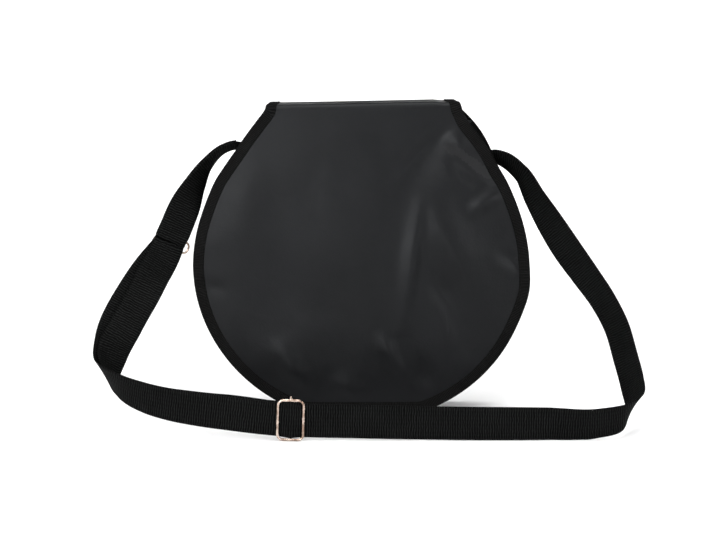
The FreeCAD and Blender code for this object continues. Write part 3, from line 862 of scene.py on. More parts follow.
def side_curve(sides, side, heights):
    """x of the flap's or the pocket's side at heights above the waist; side is -1 or 1."""
    table = sorted(sides)
    return hermite([row[0] for row in table], [row[1 if side < 0 else 2] for row in table], heights)


print("half the bag is %.0f mm wide at %.0f mm" % (HALF, WAIST))

# %% [markdown]
# ### One half of the edge
# The edge runs down the side, round the ellipse and, through a rounded corner, along the flat foot to the
# middle. The corner is the circle that touches both the ellipse and the foot, so its centre is looked for:
# it is the first place along the ellipse whose inner normal reaches the right height.

# %% Helpers for lines of points
def line_lengths(line):
    """Distance from the first point of a line to each of its points."""
    return np.concatenate([[0], np.cumsum(np.linalg.norm(np.diff(line, axis=0), axis=1))])


def resample(line, spacing=None, count=None):
    """The same line with points at even distances."""
    along = line_lengths(line)
    keep = np.concatenate([[True], np.diff(along) > 1e-9])
    count = count or max(2, int(round(along[-1] / spacing)) + 1)
    wanted = np.linspace(0, along[-1], count)
    return np.stack([np.interp(wanted, along[keep], line[keep][:, k]) for k in range(line.shape[1])], 1)


def left_normals(line):
    """Unit normals on the left hand of somebody who walks along the line."""
    tangent = np.gradient(line, axis=0)
    tangent /= np.linalg.norm(tangent, axis=1)[:, None]
    return np.stack([-tangent[:, 1], tangent[:, 0]], 1)

# %% Half an edge, from the top to the middle of the foot
EDGE_STEP, CORNER_STEPS, FINE_STEPS, THINNING = 1.5, 40, 4000, 12
FULLER, LOWER_TOO = 1.6, 0.3                                     # the right side's foot is fuller
BULGE, BULGE_HEIGHT, BULGE_REACH = 2.4, 142, 24                  # and so is its side below the waist
FLAP_START, FLAP_FOOT, FLAP_CORNER = 349.0, 3.0, 40.0


def ellipse_point(angle, side):
    """The lower half, fuller than an ellipse on the right."""
    full = math.sin(2 * angle) * (FULLER if side > 0 else 0.0)
    return np.array([side * (HALF * math.cos(angle) + full),
                     WAIST - REACH * math.sin(angle) - LOWER_TOO * full])


def half_edge(sides, side, top, foot, corner):
    """The edge on one side, from the top down and along the foot to the middle."""
    heights = np.arange(top, WAIST, -EDGE_STEP)
    upper = np.stack([side_curve(sides, side, heights), heights], 1)
    edge = np.array([ellipse_point(angle, side) for angle in np.linspace(0, math.pi / 2, FINE_STEPS)])
    inward = left_normals(edge)
    if inward[10][0] * side > 0:
        inward = -inward
    low_enough = edge[:, 1] + inward[:, 1] * corner < foot + corner
    last = int(np.argmax(low_enough)) if low_enough.any() else len(edge) - 1
    centre = edge[last] + inward[last] * corner
    start = math.atan2(edge[last][1] - centre[1], (edge[last][0] - centre[0]) * side)
    turn = np.linspace(start, -math.pi / 2, CORNER_STEPS)
    rounding = np.stack([centre[0] + side * corner * np.cos(turn), centre[1] + corner * np.sin(turn)], 1)
    run = np.linspace(rounding[-1][0], 0, CORNER_STEPS)[1:]
    flat = np.stack([run, np.full(len(run), foot)], 1)
    edge = np.concatenate([upper, edge[:last:THINNING], rounding, flat])
    if side > 0:
        edge[:, 0] += BULGE * np.exp(-((edge[:, 1] - BULGE_HEIGHT) / BULGE_REACH) ** 2)
    return resample(edge, spacing=EDGE_STEP)


flap_left, flap_right = (half_edge(FLAP_SIDES, side, FLAP_START, FLAP_FOOT, FLAP_CORNER) for side in (-1, 1))
print("flap edge: %d points on the right, lowest %.1f, widest %.1f"
      % (len(flap_right), flap_right[:, 1].min(), flap_right[:, 0].max()))

# %% [markdown]
# ## A grid inside a round outline
# A square grid squeezed into a round outline gets thin cells at its foot. A Coons patch avoids that: it
# blends four edge curves, with two of its corners set low on the round part, so its cells stay nearly
# square everywhere.

# %% Coons patch
def coons(top, left, bottom, right):
    """A grid of points between four curves; rows run down, columns run to the right."""
    rows, columns = len(left), len(top)
    u = np.linspace(0, 1, columns)[None, :, None]
    v = np.linspace(0, 1, rows)[:, None, None]
    ruled = (1 - v) * top[None] + v * bottom[None] + (1 - u) * left[:, None] + u * right[:, None]
    corners = ((1 - u) * (1 - v) * top[0] + u * (1 - v) * top[-1]
               + (1 - u) * v * bottom[0] + u * v * bottom[-1])
    return ruled - corners


def patch_grid(left_edge, right_edge, spacing, low=46.0):
    """The grid inside two edges that both run from the top down to the middle of the foot."""
    cut_left = int(np.argmax(left_edge[:, 1] < low))
    cut_right = int(np.argmax(right_edge[:, 1] < low))
    bottom = np.concatenate([left_edge[cut_left:], right_edge[cut_right:-1][::-1]])
    rows, columns = (int(round(np.linalg.norm(np.diff(line, axis=0), axis=1).sum() / spacing)) + 1
                     for line in (left_edge[:cut_left + 1], bottom))
    top = np.stack([np.linspace(left_edge[0, 0], right_edge[0, 0], columns),
                    np.full(columns, left_edge[0, 1])], 1)
    return coons(top, resample(left_edge[:cut_left + 1], count=rows), resample(bottom, count=columns),
                 resample(right_edge[:cut_right + 1], count=rows))

# %% [markdown]
# ## Cloth with two faces
# Cloth needs a thickness, so that its edge shows and its inside can have another finish. A grid is pushed
# out to both sides along its normals and closed round its rim. A Solidify modifier could do that; here the
# grid's flat place goes along as a UV map in metres, which is what the cloth was cut to.

# %% A closed sheet from a grid
def sheet_mesh(name, points, outward, thickness, flat):
    """A closed sheet: a grid of points in metres, pushed out by half the thickness on both sides."""
    rows, columns = points.shape[:2]
    front, back = points + outward * thickness / 2, points - outward * thickness / 2
    vertices = np.concatenate([front.reshape(-1, 3), back.reshape(-1, 3)])
    size = rows * columns
    faces = []
    for r in range(rows - 1):
        for c in range(columns - 1):
            a = r * columns + c
            faces.append((a, a + columns, a + columns + 1, a + 1))
            faces.append((size + a, size + a + 1, size + a + columns + 1, size + a + columns))
    rim = ([(0, c) for c in range(columns)] + [(r, columns - 1) for r in range(1, rows)]
           + [(rows - 1, c) for c in range(columns - 2, -1, -1)] + [(r, 0) for r in range(rows - 2, 0, -1)])
    ids = [r * columns + c for r, c in rim]
    for a, b in zip(ids, ids[1:] + ids[:1]):
        faces.append((a, b, size + b, size + a))
    mesh = bpy.data.meshes.new(name)
    mesh.from_pydata(vertices.tolist(), [], faces)
    layer = mesh.uv_layers.new(name="cloth")
    index = np.empty(len(mesh.loops), dtype=np.int64)
    mesh.loops.foreach_get("vertex_index", index)
    layer.data.foreach_set("uv", np.tile(flat.reshape(-1, 2), (2, 1))[index].ravel())
    return mesh

# %% Cloth with its inside
BAG_MIDDLE = Vector((0, 0, 0.17))


def cloth_piece(name, points, thickness, flat):
    """A sheet of coated fabric; the side that faces the middle of the bag has no film."""
    mesh = sheet_mesh(name, points, grid_normals(points), thickness * MM, flat)
    made = add_object(name, mesh, fabric_finish)
    made.data.materials.append(lining_finish)
    for polygon in made.data.polygons:
        if polygon.normal.dot(polygon.center - BAG_MIDDLE) < 0:
            polygon.material_index = 1
    return made


def grid_normals(points):
    """Unit normals of a grid, pointing to the front where columns run right and rows run down."""
    normal = np.cross(np.gradient(points, axis=0), np.gradient(points, axis=1))
    return normal / np.linalg.norm(normal, axis=2)[..., None]


def flat_area(places):
    """Area of a grid of flat places in metres, from the diagonals of its cells."""
    x, y = places[..., 0], places[..., 1]
    dx, dy = x[1:, 1:] - x[:-1, :-1], y[1:, 1:] - y[:-1, :-1]
    ex, ey = x[1:, :-1] - x[:-1, 1:], y[1:, :-1] - y[:-1, 1:]
    return float(np.abs(dx * ey - dy * ex).sum() / 2)

# %% [markdown]
# ## The strap's sewn ends
# Strap and tab start inside out on the gusset: each runs down it, flat against the cloth and sewn, and
# then turns forward and peels off to its first free place. That is a short bend through a right angle, and
# it has to start from the gusset's own outside, so it follows the pocket's side.

# %% Sewn ends
SEWN, SEWN_BEND, SEAM_INSIDE = 0.034, 0.0075, 12.6     # sewn length, radius of the bend, gusset inside the edge


def oriented(line):
    """The same stations with along, across and normal right-handed everywhere."""
    made = []
    for i, (middle, across, _) in enumerate(line):
        a, b = line[max(i - 1, 0)][0], line[min(i + 1, len(line) - 1)][0]
        along = (b - a).normalized()
        across = (across - along * across.dot(along)).normalized()
        made.append((middle, across, along.cross(across)))
    return made


def gusset_side(side, z):
    """x of the gusset's outside at a height in metres, on one side of the bag."""
    return float(side_curve(BODY_SIDES, side, z / MM)[0] - side * SEAM_INSIDE) * MM


def sewn_part(side, start):
    """Stations down the gusset and round to the place where the strap starts; it peels off in front."""
    place, across = start
    low = place.z + SEWN_BEND
    flat = Vector((0, -1, 0))
    rows = [(Vector((gusset_side(side, z) + side * (WEB / 2 + 0.0004), 0, z)), flat, flat)
            for z in np.linspace(low + SEWN, low, 18)]
    root = rows[-1][0]
    for k in range(1, 9):
        turn = math.pi / 2 * k / 8
        peel = flat.lerp(Vector((side * across.z, across.y, 0)), k / 8)
        peel = peel.lerp(across, (k / 8) ** 2)
        rows.append((Vector((root.x + side * SEWN_BEND * (1 - math.cos(turn)), place.y * k / 12,
                             low - SEWN_BEND * math.sin(turn))), peel.normalized(), flat))
    last = rows[-1][0]
    for k in (1, 2, 3):
        rows.append((last.lerp(place, k / 4), across, flat))
    return rows


print("gusset at the strap's seam: x = %.4f m" % gusset_side(1, long_route[0][0].z))

# %% [markdown]
# ### Turning round a wire
# Where webbing goes round a wire its middle follows half a circle. The two turns in the ring hang a little
# deeper than the wire asks for, by their slack, so the tab's turn and the strap's turn just touch and no
# light shows between them. The tab's half circle is also a little wider, which leaves the ring room to
# swivel.

# %% Half a turn
LOOP_SLACK, TAB_SLACK, TAB_TURN = 0.00235, 0.00155, TURN + 0.0008
TURN_STEPS = 12


def turn_round(centre, radius, first, under=-1, slack=0.0, skew=0.0):
    """Stations half round a wire, from the layer on side first to the other, under or over the wire."""
    made = []
    for k in range(TURN_STEPS + 1):
        angle = math.pi * k / TURN_STEPS
        out = RING_FRONT * (first * radius * math.cos(angle))
        out += RING_DOWN * (under * (radius + slack) * math.sin(angle))
        made.append((centre + out + RING_ACROSS * (skew * (1 - k / TURN_STEPS)), RING_ACROSS, out))
    return made


turn_part = turn_round(LOWER, TURN, -1, slack=LOOP_SLACK, skew=SKEW * SKEW_AT_WIRE)
print("the strap's turn: %d stations, %.1f mm deep" % (len(turn_part), (TURN + LOOP_SLACK) / MM))

# %% [markdown]
# ### Through the slider
# The returning layer crosses behind the front run, goes round the slider's bar and is sewn down on
# itself. The front run passes over the bar, which pushes it out a little between the slider's two sides.

# %% Round the slider's bar
SLIDER_X, SLIDER_Z, RUN_Y = -0.076, 0.0238, -0.1595
BAR_Y, BAR_TURN, CLIMB = RUN_Y + 0.0045, 0.0026, 0.09    # the returning layer climbs away from the bar
OVER_BAR, OVER_BAR_REACH = 0.0010, 0.0085
SEWN_BACK = ((SLIDER_X, BAR_TURN), (-0.079, 0.00258), (-0.082, 0.0025), (-0.085, 0.0019), (-0.088, 0.0010),
             (-0.091, 0.0001), (-0.094, -0.0006), (-0.097, -0.00085), (-0.100, -0.0009),
             (-0.103, -0.0009), (-0.106, -0.0009))       # x, and y behind the bar
up = Vector((0, 0, 1))
bridge = places([(-165, -154.4, 33.5, 0, 0, 1), (-140, -157.0, 31.8, 0, 0, 1),
                 (-114, -157.55, 28.3, 0, 0, 1)])
bridge += [(Vector((x, BAR_Y - BAR_TURN, SLIDER_Z + CLIMB * (SLIDER_X - x))), up) for x in (-0.096, SLIDER_X)]
loop_part = [(Vector((SLIDER_X + BAR_TURN * math.sin(angle), BAR_Y - BAR_TURN * math.cos(angle), SLIDER_Z)),
              up, up) for angle in (math.pi * k / 14 for k in range(1, 14))]
loop_part += [(Vector((x, BAR_Y + y, SLIDER_Z + CLIMB * max(0.0, SLIDER_X - x))), up, up)
              for x, y in SEWN_BACK]


def over_bar(line):
    """The front layer swells between the slider's two sides, where it runs over the bar."""
    made = []
    for middle, across, normal in line:
        near = (middle.x - SLIDER_X) / OVER_BAR_REACH
        if abs(near) < 1 and middle.y < -0.15:
            middle = middle + Vector((0, -OVER_BAR * math.cos(near * math.pi / 2) ** 2, 0))
        made.append((middle, across, normal))
    return made


print("round the bar: %d stations" % len(loop_part))

# %% [markdown]
# ## The whole strap
# The strap is one length of webbing: sewn on at the right, across the front, up to the ring, round its
# lower wire, back behind itself, round the slider's bar and sewn down. It is laid as one line, so its
# weave runs on without a break.

# %% The strap's whole line
first_part = sewn_part(1, long_route[0]) + over_bar(long_line)
back_part = stations(return_route[::-1] + bridge)
strap_line = oriented(first_part + turn_part + back_part[:-1] + loop_part)
strap_along = lengths(strap_line)
turn_start, turn_end = strap_along[len(first_part)], strap_along[len(first_part) + len(turn_part) - 1]
slider_place = Vector((SLIDER_X, RUN_Y, SLIDER_Z))
at_slider = min(range(len(first_part)), key=lambda i: (strap_line[i][0] - slider_place).length)
pinches = [((turn_start + turn_end) / 2, 0.05, 0.010),     # drawn together in the ring
           (strap_along[at_slider], -0.075, 0.0095)]       # spread out over the slider's bar
print("the whole strap: %.3f m in %d stations" % (strap_along[-1], len(strap_line)))

# %% [markdown]
# ### Cutting it where bodies meet
# The strap swings, its turn goes with the ring, which swivels, and its loop goes with the slider. So the
# line is cut into three pieces, and near each cut a piece bends over from one body to the next. Near the
# sewn end it bends over from the bag to the swinging body.

# %% The strap's three pieces
TAIL = 0.034                                       # how much of each layer belongs to the turn in the ring
TURN_END = 0.006                                   # below the wire, where the turn is all the ring's
STRAP_PEEL = {"start": (0.146, -0.001, 0.303), "end": (0.146, -0.001, 0.262)}
LOOP_RANGE = {"start": (-0.196, 0, 0), "end": (-0.112, 0, 0)}


def strap_piece(name, start, end):
    """The part of the strap between two distances; neighbours share their last station."""
    first, last = (min(range(len(strap_along)), key=lambda i: abs(strap_along[i] - s)) for s in (start, end))
    mesh = strip_mesh(name, strap_line[first:last + 1], strap_along[first:last + 1], pinches)
    made = add_object(name, mesh, webbing_finish)
    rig.slot(made, "webbing")
    return made


long_strap = strap_piece("long_strap", 0.0, turn_start - TAIL)
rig.replaces(long_strap, "strap_right_fall", "strap_right_corner", "strap_front_run", "strap_left_corner",
            "strap_left_rise", "strap_sewn_end")
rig.blend(long_strap, "bag", "strap", **STRAP_PEEL)

ring_turn = strap_piece("ring_turn", turn_start - TAIL, turn_end + TAIL)
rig.replaces(ring_turn, "strap_ring_turn")
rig.blend(ring_turn, "strap", "ring", start=tuple(LOWER + RING_DOWN * TAIL),
         end=tuple(LOWER + RING_DOWN * TURN_END))

return_layer = strap_piece("return_layer", turn_end + TAIL, strap_along[-1])
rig.replaces(return_layer, "return_left_corner", "return_left_rise", "slider_loop")
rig.blend(return_layer, "strap", "slider", **LOOP_RANGE)

# %% [markdown]
# ## The short tab
# The tab is a second, short length of webbing, doubled: down in front, round the ring's upper wire and up
# behind, where it is sewn to itself. Both layers follow one middle line, half a thickness to either side,
# and part near the wire.

# %% The doubled tab
LAYER_GAP, PARTING = 0.0001, 0.012                 # half the air between the layers, where they start to part
DOUBLED_FROM, DOUBLED_OVER, TAB_END = 0.04, 0.02, 0.068
TAB_PEEL = {"start": (-0.146, -0.001, 0.308), "end": (-0.146, -0.001, 0.268)}
tab_all = oriented(sewn_part(-1, tab_route[0]) + tab_line)
tab_along = lengths(tab_all)
tab_total = tab_along[-1]


def tab_layer(side, start):
    """Stations of one layer, from start metres on; side 1 is the front one, which carries on to the seam."""
    made = []
    for (middle, across, normal), s in zip(tab_all, tab_along):
        if s < start:
            continue
        apart = max(0.0, 1 - (tab_total - s) / PARTING) ** 2
        offset = (WEB / 2 + LAYER_GAP) + apart * (TAB_TURN - WEB / 2 - LAYER_GAP)
        if side > 0:
            offset *= min(1.0, max(0.0, (s - DOUBLED_FROM) / DOUBLED_OVER))
        made.append((middle - normal * (side * offset), across, normal))
    return made


tab_stations = oriented(tab_layer(1, 0.0) + turn_round(UPPER, TAB_TURN, 1, under=1, slack=TAB_SLACK)
                        + tab_layer(-1, TAB_END)[::-1])
tab_lengths = lengths(tab_stations)
tab = add_object("tab", strip_mesh("tab", tab_stations, tab_lengths, [(tab_total + 0.004, 0.07, 0.007)]),
                 webbing_finish)
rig.replaces(tab, "strap_tab", "tab_sewn_end")
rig.slot(tab, "webbing")
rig.blend(tab, "bag", "strap", **TAB_PEEL)
print("the tab: %.3f m" % tab_lengths[-1])

# %% [markdown]
# ## One fold
# A cloth simulation gives folds, but not in chosen places, so these are shaped as a modeller in clay would
# do it. Each fold is a line with a height, a soft flank and a sharp flank, and it fades out towards both
# ends of its line.

# %% A fold as a line with two flanks
FADE_IN, FADE_OUT = 0.45, 0.5                      # shares of a fold's length


def ease(t):
    """From 0 to 1, flat at both ends."""
    return t * t * (3 - 2 * t)


def fold(x, z, line, height, left, right):
    """Push of one fold: line is its places (x, z), left and right are the widths of its flanks."""
    line = np.array(line, float)
    best = np.full(x.shape, 1e9)
    offset, place = np.zeros(x.shape), np.zeros(x.shape)
    start = line_lengths(line)
    start = start / start[-1]
    for a, b, s0, s1 in zip(line, line[1:], start, start[1:]):
        run = b - a
        t = np.clip(((x - a[0]) * run[0] + (z - a[1]) * run[1]) / (run @ run), 0, 1)
        dx, dz = x - (a[0] + t * run[0]), z - (a[1] + t * run[1])
        distance = np.hypot(dx, dz)
        side = np.sign(run[1] * dx - run[0] * dz) * (1 if run[1] < 0 else 1)
        near = distance < best
        best = np.where(near, distance, best)
        offset = np.where(near, side * distance, offset)
        place = np.where(near, s0 + (s1 - s0) * t, place)
    flank = np.where(offset > 0, left, right)
    fade = ease(np.clip(place / FADE_IN, 0, 1) * np.clip((1 - place) / FADE_OUT, 0, 1))
    return height * fade * np.exp(-(offset / flank) ** 2)


def all_folds(x, z, folds):
    return sum(fold(x, z, *row) for row in folds)


halfway = fold(np.array([0.0]), np.array([50.0]), [(0, 100), (0, 0)], 5.0, 10, 10)[0]
print("a 5 mm fold is %.1f mm high halfway along" % halfway)

# %% [markdown]
# ## The flap's folds
# The flap has been packed and handled. Sharp folds run down from its right shoulder to the foot, a few
# dents cross them, and wide soft waves cover the rest. A last, very broad ridge lets the middle catch the
# light, as it does where the cloth bears on what is inside.

# %% Lines, heights and flanks of the flap's folds
FLAP_FOLDS = [   # line from the top down, height, width of the left and right flank
    ([(69, 268), (63, 215), (56, 150), (46, 78)], 4.8, 11, 6),
    ([(64, 276), (94, 212), (122, 162), (150, 104)], 6.2, 17, 27),
    ([(66, 206), (86, 150), (108, 104), (134, 54)], -4.8, 13, 13),
    ([(124, 346), (86, 314), (56, 282), (22, 246)], -6.4, 13, 24),
    ([(90, 306), (130, 274), (166, 250)], -5.0, 10, 12),
    ([(116, 229), (142, 246), (166, 260)], 4.6, 10, 9),
    ([(90, 322), (108, 310), (128, 298)], 4.0, 9, 12),
    ([(-104, 316), (-128, 262), (-142, 204), (-136, 120)], 3.4, 36, 40),
    ([(-96, 214), (-88, 160), (-100, 110), (-118, 72)], -3.0, 30, 30),
    ([(-20, 190), (-40, 120), (-52, 60)], -3.0, 40, 34),
    ([(-100, 96), (-86, 68), (-64, 40)], 2.6, 13, 15),
    ([(34, 98), (50, 70), (68, 48), (96, 26)], -5.0, 11, 11),
    ([(-98, 66), (-72, 46), (-46, 26)], 3.0, 11, 13),
    ([(84, 150), (98, 112), (106, 72)], 2.6, 12, 12),
    ([(18, 104), (36, 70), (60, 38)], 4.8, 12, 9),
    ([(-34, 52), (-14, 32), (12, 12)], 2.8, 12, 12),
    ([(150, 196), (172, 178), (192, 162)], -3.2, 8, 8),
    ([(-190, 154), (-170, 148), (-146, 144)], -1.7, 9, 9),
    ([(-130, 180), (-50, 170), (30, 170), (100, 180)], 2.8, 62, 95),
]


print("folds in the flap:", len(FLAP_FOLDS))

# %% [markdown]
# ## How far the front stands out
# Three things push the front of the flap out along the cloth's own normal: the swell of the filled pocket,
# the folds, and a slight unevenness that no handled cloth is without. Where the hook and loop tape holds
# the cloth it can't sink in, and near the top all of it dies out, because the cloth is stretched there.

# %% Swell, folds and unevenness added up
SWELL, SWELL_MIDDLE, SWELL_HALF = 6.5, 185, 190
SWELL_HEIGHTS, SWELL_WIDTHS, RIM_HALF = [0, 60, WAIST, 262, HEIGHT], [75, 148, HALF, 168, 105], 181
PAD_HALF, PAD_MIDDLE, PAD_REACH = (50, 19), 78, 34       # where the tape holds the cloth
CALM_TOP, CALM_REACH, START_REACH = 352, 60, 38          # how it dies out towards the top
WAVE, WAVE_SIZE, DENT, DENT_SIZE = 0.9, 70, 0.35, 28     # unevenness, broad and small


def soft_noise(x, z, size, seed):
    """Smooth noise from -1 to 1 over the sheet."""
    flat = [noise.noise(Vector((a / size, b / size, seed))) for a, b in zip(x.ravel(), z.ravel())]
    return np.array(flat).reshape(x.shape)


def swell(x, z):
    """The round front of the filled bag, and how near a place is to its rim (0 inside, 1 at the rim)."""
    half = hermite(SWELL_HEIGHTS, SWELL_WIDTHS, z.ravel()).reshape(z.shape)
    edge = np.abs(x) / np.maximum(half, 1)
    rim = np.clip(np.maximum(edge, np.hypot(x / HALF, (z - WAIST) / RIM_HALF)), 0, 1)
    up_and_down = np.clip(1 - ((z - SWELL_MIDDLE) / SWELL_HALF) ** 2, 0, 1)
    return SWELL * np.clip(1 - edge**2, 0, 1) * up_and_down, rim


def fold_push(x, z):
    """All folds added up; over the hook and loop tape the cloth is held, so it can't sink in there."""
    push = all_folds(x, z, FLAP_FOLDS)
    beside = np.maximum(np.abs(x) - PAD_HALF[0], 0)
    above = np.maximum(np.abs(z - PAD_MIDDLE) - PAD_HALF[1], 0)
    away = np.clip(np.hypot(beside, above) / PAD_REACH, 0, 1)
    return np.where(push < 0, push * ease(away), push)


def flap_push(x, z):
    """How far the front of the flap stands out from its flat place, in millimetres."""
    calm = np.clip((CALM_TOP - z) / CALM_REACH, 0, 1)
    push = swell(x, z)[0] + fold_push(x, z)
    push = push + calm * (WAVE * soft_noise(x, z, WAVE_SIZE, 3.1) + DENT * soft_noise(x, z, DENT_SIZE, 7.7))
    return push * ease(np.clip((HEIGHT - z) / START_REACH, 0, 1))


print("the middle stands out %.1f mm" % flap_push(np.array([0.0]), np.array([185.0]))[0])

# %% [markdown]
# ## The flap's section
# Seen from the side, the cloth of the flap starts at its seam on the back, bends forward over the top,
# crosses it, bends down again and hangs with a slight lean. One distance s along that section says where
# on it a place is, so that the cloth can be drawn flat, as it was cut.

# %% The section: two runs, two bends and the long front
BEND, FLAP_THICK, FLAP_TOP, FLAP_FRONT, LEAN = 6.2, 1.6, 354.9, -24.8, math.atan(0.03922)
BACK_Y, BACK_TAIL, BACK_BEND = 23.6, 15.0, 3.0
FRONT_TURN = math.pi / 2 - LEAN
MARKS = np.cumsum([BACK_TAIL, BACK_BEND * math.pi / 2, (BACK_Y - BACK_BEND) - (FLAP_FRONT + BEND),
                   BEND * FRONT_TURN])                   # where each part of the section ends
FRONT_START_Y = FLAP_FRONT + BEND - BEND * math.sin(FRONT_TURN)
FRONT_START_Z = FLAP_TOP - BEND * (1 - math.cos(FRONT_TURN))


def flap_section(s):
    """Place (y, z) and outward direction (ny, nz) at distance s from the flap's sewn end at the back."""
    back, front, down = (s - MARKS[0]) / BACK_BEND, (s - MARKS[2]) / BEND, s - MARKS[3]
    zero, one = np.zeros(s.shape), np.ones(s.shape)
    parts = [s < MARKS[0], s < MARKS[1], s < MARKS[2], s < MARKS[3]]
    y = np.select(parts, [BACK_Y * one, BACK_Y - BACK_BEND * (1 - np.cos(back)),
                          BACK_Y - BACK_BEND - (s - MARKS[1]), FLAP_FRONT + BEND - BEND * np.sin(front)],
                  FRONT_START_Y - down * math.sin(LEAN))
    z = np.select(parts, [FLAP_TOP - BACK_BEND - BACK_TAIL + s, FLAP_TOP - BACK_BEND * (1 - np.sin(back)),
                          FLAP_TOP * one, FLAP_TOP - BEND * (1 - np.cos(front))],
                  FRONT_START_Z - down * math.cos(LEAN))
    ny = np.select(parts, [one, np.cos(back), zero, -np.sin(front)], -math.cos(LEAN))
    nz = np.select(parts, [zero, np.sin(back), one, np.cos(front)], math.sin(LEAN))
    return y, z, ny, nz


def front_distance(z):
    """Distance s of a height on the flap's front."""
    return MARKS[3] + (FRONT_START_Z - z) / math.cos(LEAN)


print("section: parts end at", [round(float(mark), 1) for mark in MARKS])

# %% [markdown]
# ## The flap's surface
# The surface takes a place on the flat cloth, x across and s along, and says where it is on the bag. Over
# the top the cloth sags a little in the middle, and it hangs slightly higher on its right. Everything that
# is sewn to the flap is found on this same surface, so it follows every fold.

# %% The flap's surface
TOP_HALF, SAG, LIFT, LIFT_FROM = 105, 1.3, 2.1, 120
CORNER_DROP, CORNER_X, CORNER_Z = 1.2, (82, 10), (340, 12)      # from where, and over how far


def flap_surface(x, s):
    """Places on the flap in metres, for places in millimetres on its flat cloth."""
    y, z, ny, nz = flap_section(s)
    push = np.where(s > MARKS[2], flap_push(x, z), 0)
    over = np.sin(np.clip((s - MARKS[1]) / (MARKS[2] - MARKS[1]), 0, 1) * math.pi)
    sag = np.where((s > MARKS[1]) & (s < MARKS[3]), -SAG * np.clip(1 - (x / TOP_HALF) ** 2, 0, 1) * over, 0)
    lift = LIFT * np.clip((z - LIFT_FROM) / (HEIGHT - LIFT_FROM), 0, 1) * (x / TOP_HALF)
    lift = lift - (CORNER_DROP * np.clip((x - CORNER_X[0]) / CORNER_X[1], 0, 1)
                   * np.clip((z - CORNER_Z[0]) / CORNER_Z[1], 0, 1))
    return np.stack([x, y + push * ny, z + (push + sag) * nz + lift * np.clip(2 * nz, 0, 1)], -1) * MM


top_middle = flap_surface(np.zeros(1), np.array([(MARKS[1] + MARKS[2]) / 2]))[0]
print("the middle of the flap's top is %.4f m high" % top_middle[2])

# %% The flap's edge on its flat cloth
CLOSING_LEFT, CLOSING_RIGHT, CLOSING_REACH = 3.6, 7.5, 26


def to_cloth(edge):
    """An edge from (x, height) to (x, distance), with the run over the top and down the back added."""
    start = front_distance(edge[0, 1])
    over = np.arange(0, start - EDGE_STEP / 2, EDGE_STEP)
    closing = CLOSING_LEFT if edge[0, 0] < 0 else CLOSING_RIGHT
    narrow = closing * (1 - np.exp((over - start) / CLOSING_REACH))    # the sides go on closing over the top
    head = np.stack([edge[0, 0] - np.sign(edge[0, 0]) * narrow, over], 1)
    return np.concatenate([head, np.stack([edge[:, 0], front_distance(edge[:, 1])], 1)])


def inward_normals(line, inner):
    """Unit normals of an open line in the cloth's plane, towards the side on which inner lies."""
    left, middle = left_normals(line), len(line) // 2
    return left if (np.array(inner) - line[middle]) @ left[middle] > 0 else -left


edge_left, edge_right = (resample(to_cloth(edge), EDGE_STEP) for edge in (flap_left, flap_right))
print("flap cloth: %.0f mm from its sewn end to its foot" % edge_left[:, 1].max())

# %% [markdown]
# ### The flap's cloth
# The cloth ends a little inside the fold of its binding. The grid is drawn on the flat cloth, where its
# cells are nearly square, and every point of it is then found on the surface.

# %% Flap panel
SEAM_EDGE, FLAP_INNER, FLAP_CELL, PATCH_LOW = 1.5, (0, 250), 2.4, 46.0
cut_left, cut_right = (edge + inward_normals(edge, FLAP_INNER) * SEAM_EDGE for edge in (edge_left, edge_right))
grid = patch_grid(cut_left * [1, -1], cut_right * [1, -1], FLAP_CELL, low=-front_distance(PATCH_LOW)) * [1, -1]
flap_panel = cloth_piece("flap_cloth", flap_surface(grid[..., 0], grid[..., 1]), FLAP_THICK, grid * MM)
print("flap grid:", grid.shape)

# %% [markdown]
# ## Binding tape round a raw edge
# The edge of the cloth lies in a folded tape, sewn through all layers. The tape is a U-shaped section
# carried along the edge. Each of its points is found on the cloth itself, moved inwards and lifted, so
# the tape follows every fold of the sheet that it holds.

# %% The folded tape's section
CLOTH, TAPE = 1.6, 0.9                             # thickness of the cloth in the fold and of the tape
PUCKER, STITCH_PITCH = 0.12, 3.4                   # the tape swells between its stitches


def tape_section(width):
    """Ring of (distance from the fold, height over the cloth's middle), in millimetres."""
    c, w = CLOTH / 2, width
    upper = [(w, c), (w, c + TAPE * 0.7), (w - 0.5, c + TAPE), (w * 0.72, c + TAPE * 1.02),
             (w * 0.45, c + TAPE * 1.12), (w * 0.2, c + TAPE * 1.05), (0.9, c + TAPE * 0.8),
             (0.22, c * 0.75)]
    return np.array(upper + [(0.0, 0.0)] + [(d, -h) for d, h in upper[::-1]]
                    + [(1.3, -c), (1.2, 0.0), (1.3, c)])


print("tape section:", len(tape_section(11.0)), "points")

# %% The tape carried along an edge
def surface_normals(surface, place, step=0.4):
    """Outward normals of a surface at places (x, s), from small steps both ways."""
    x, s = place[..., 0], place[..., 1]
    normal = np.cross(surface(x, s + step) - surface(x, s - step), surface(x + step, s) - surface(x - step, s))
    return normal / np.linalg.norm(normal, axis=-1)[..., None]


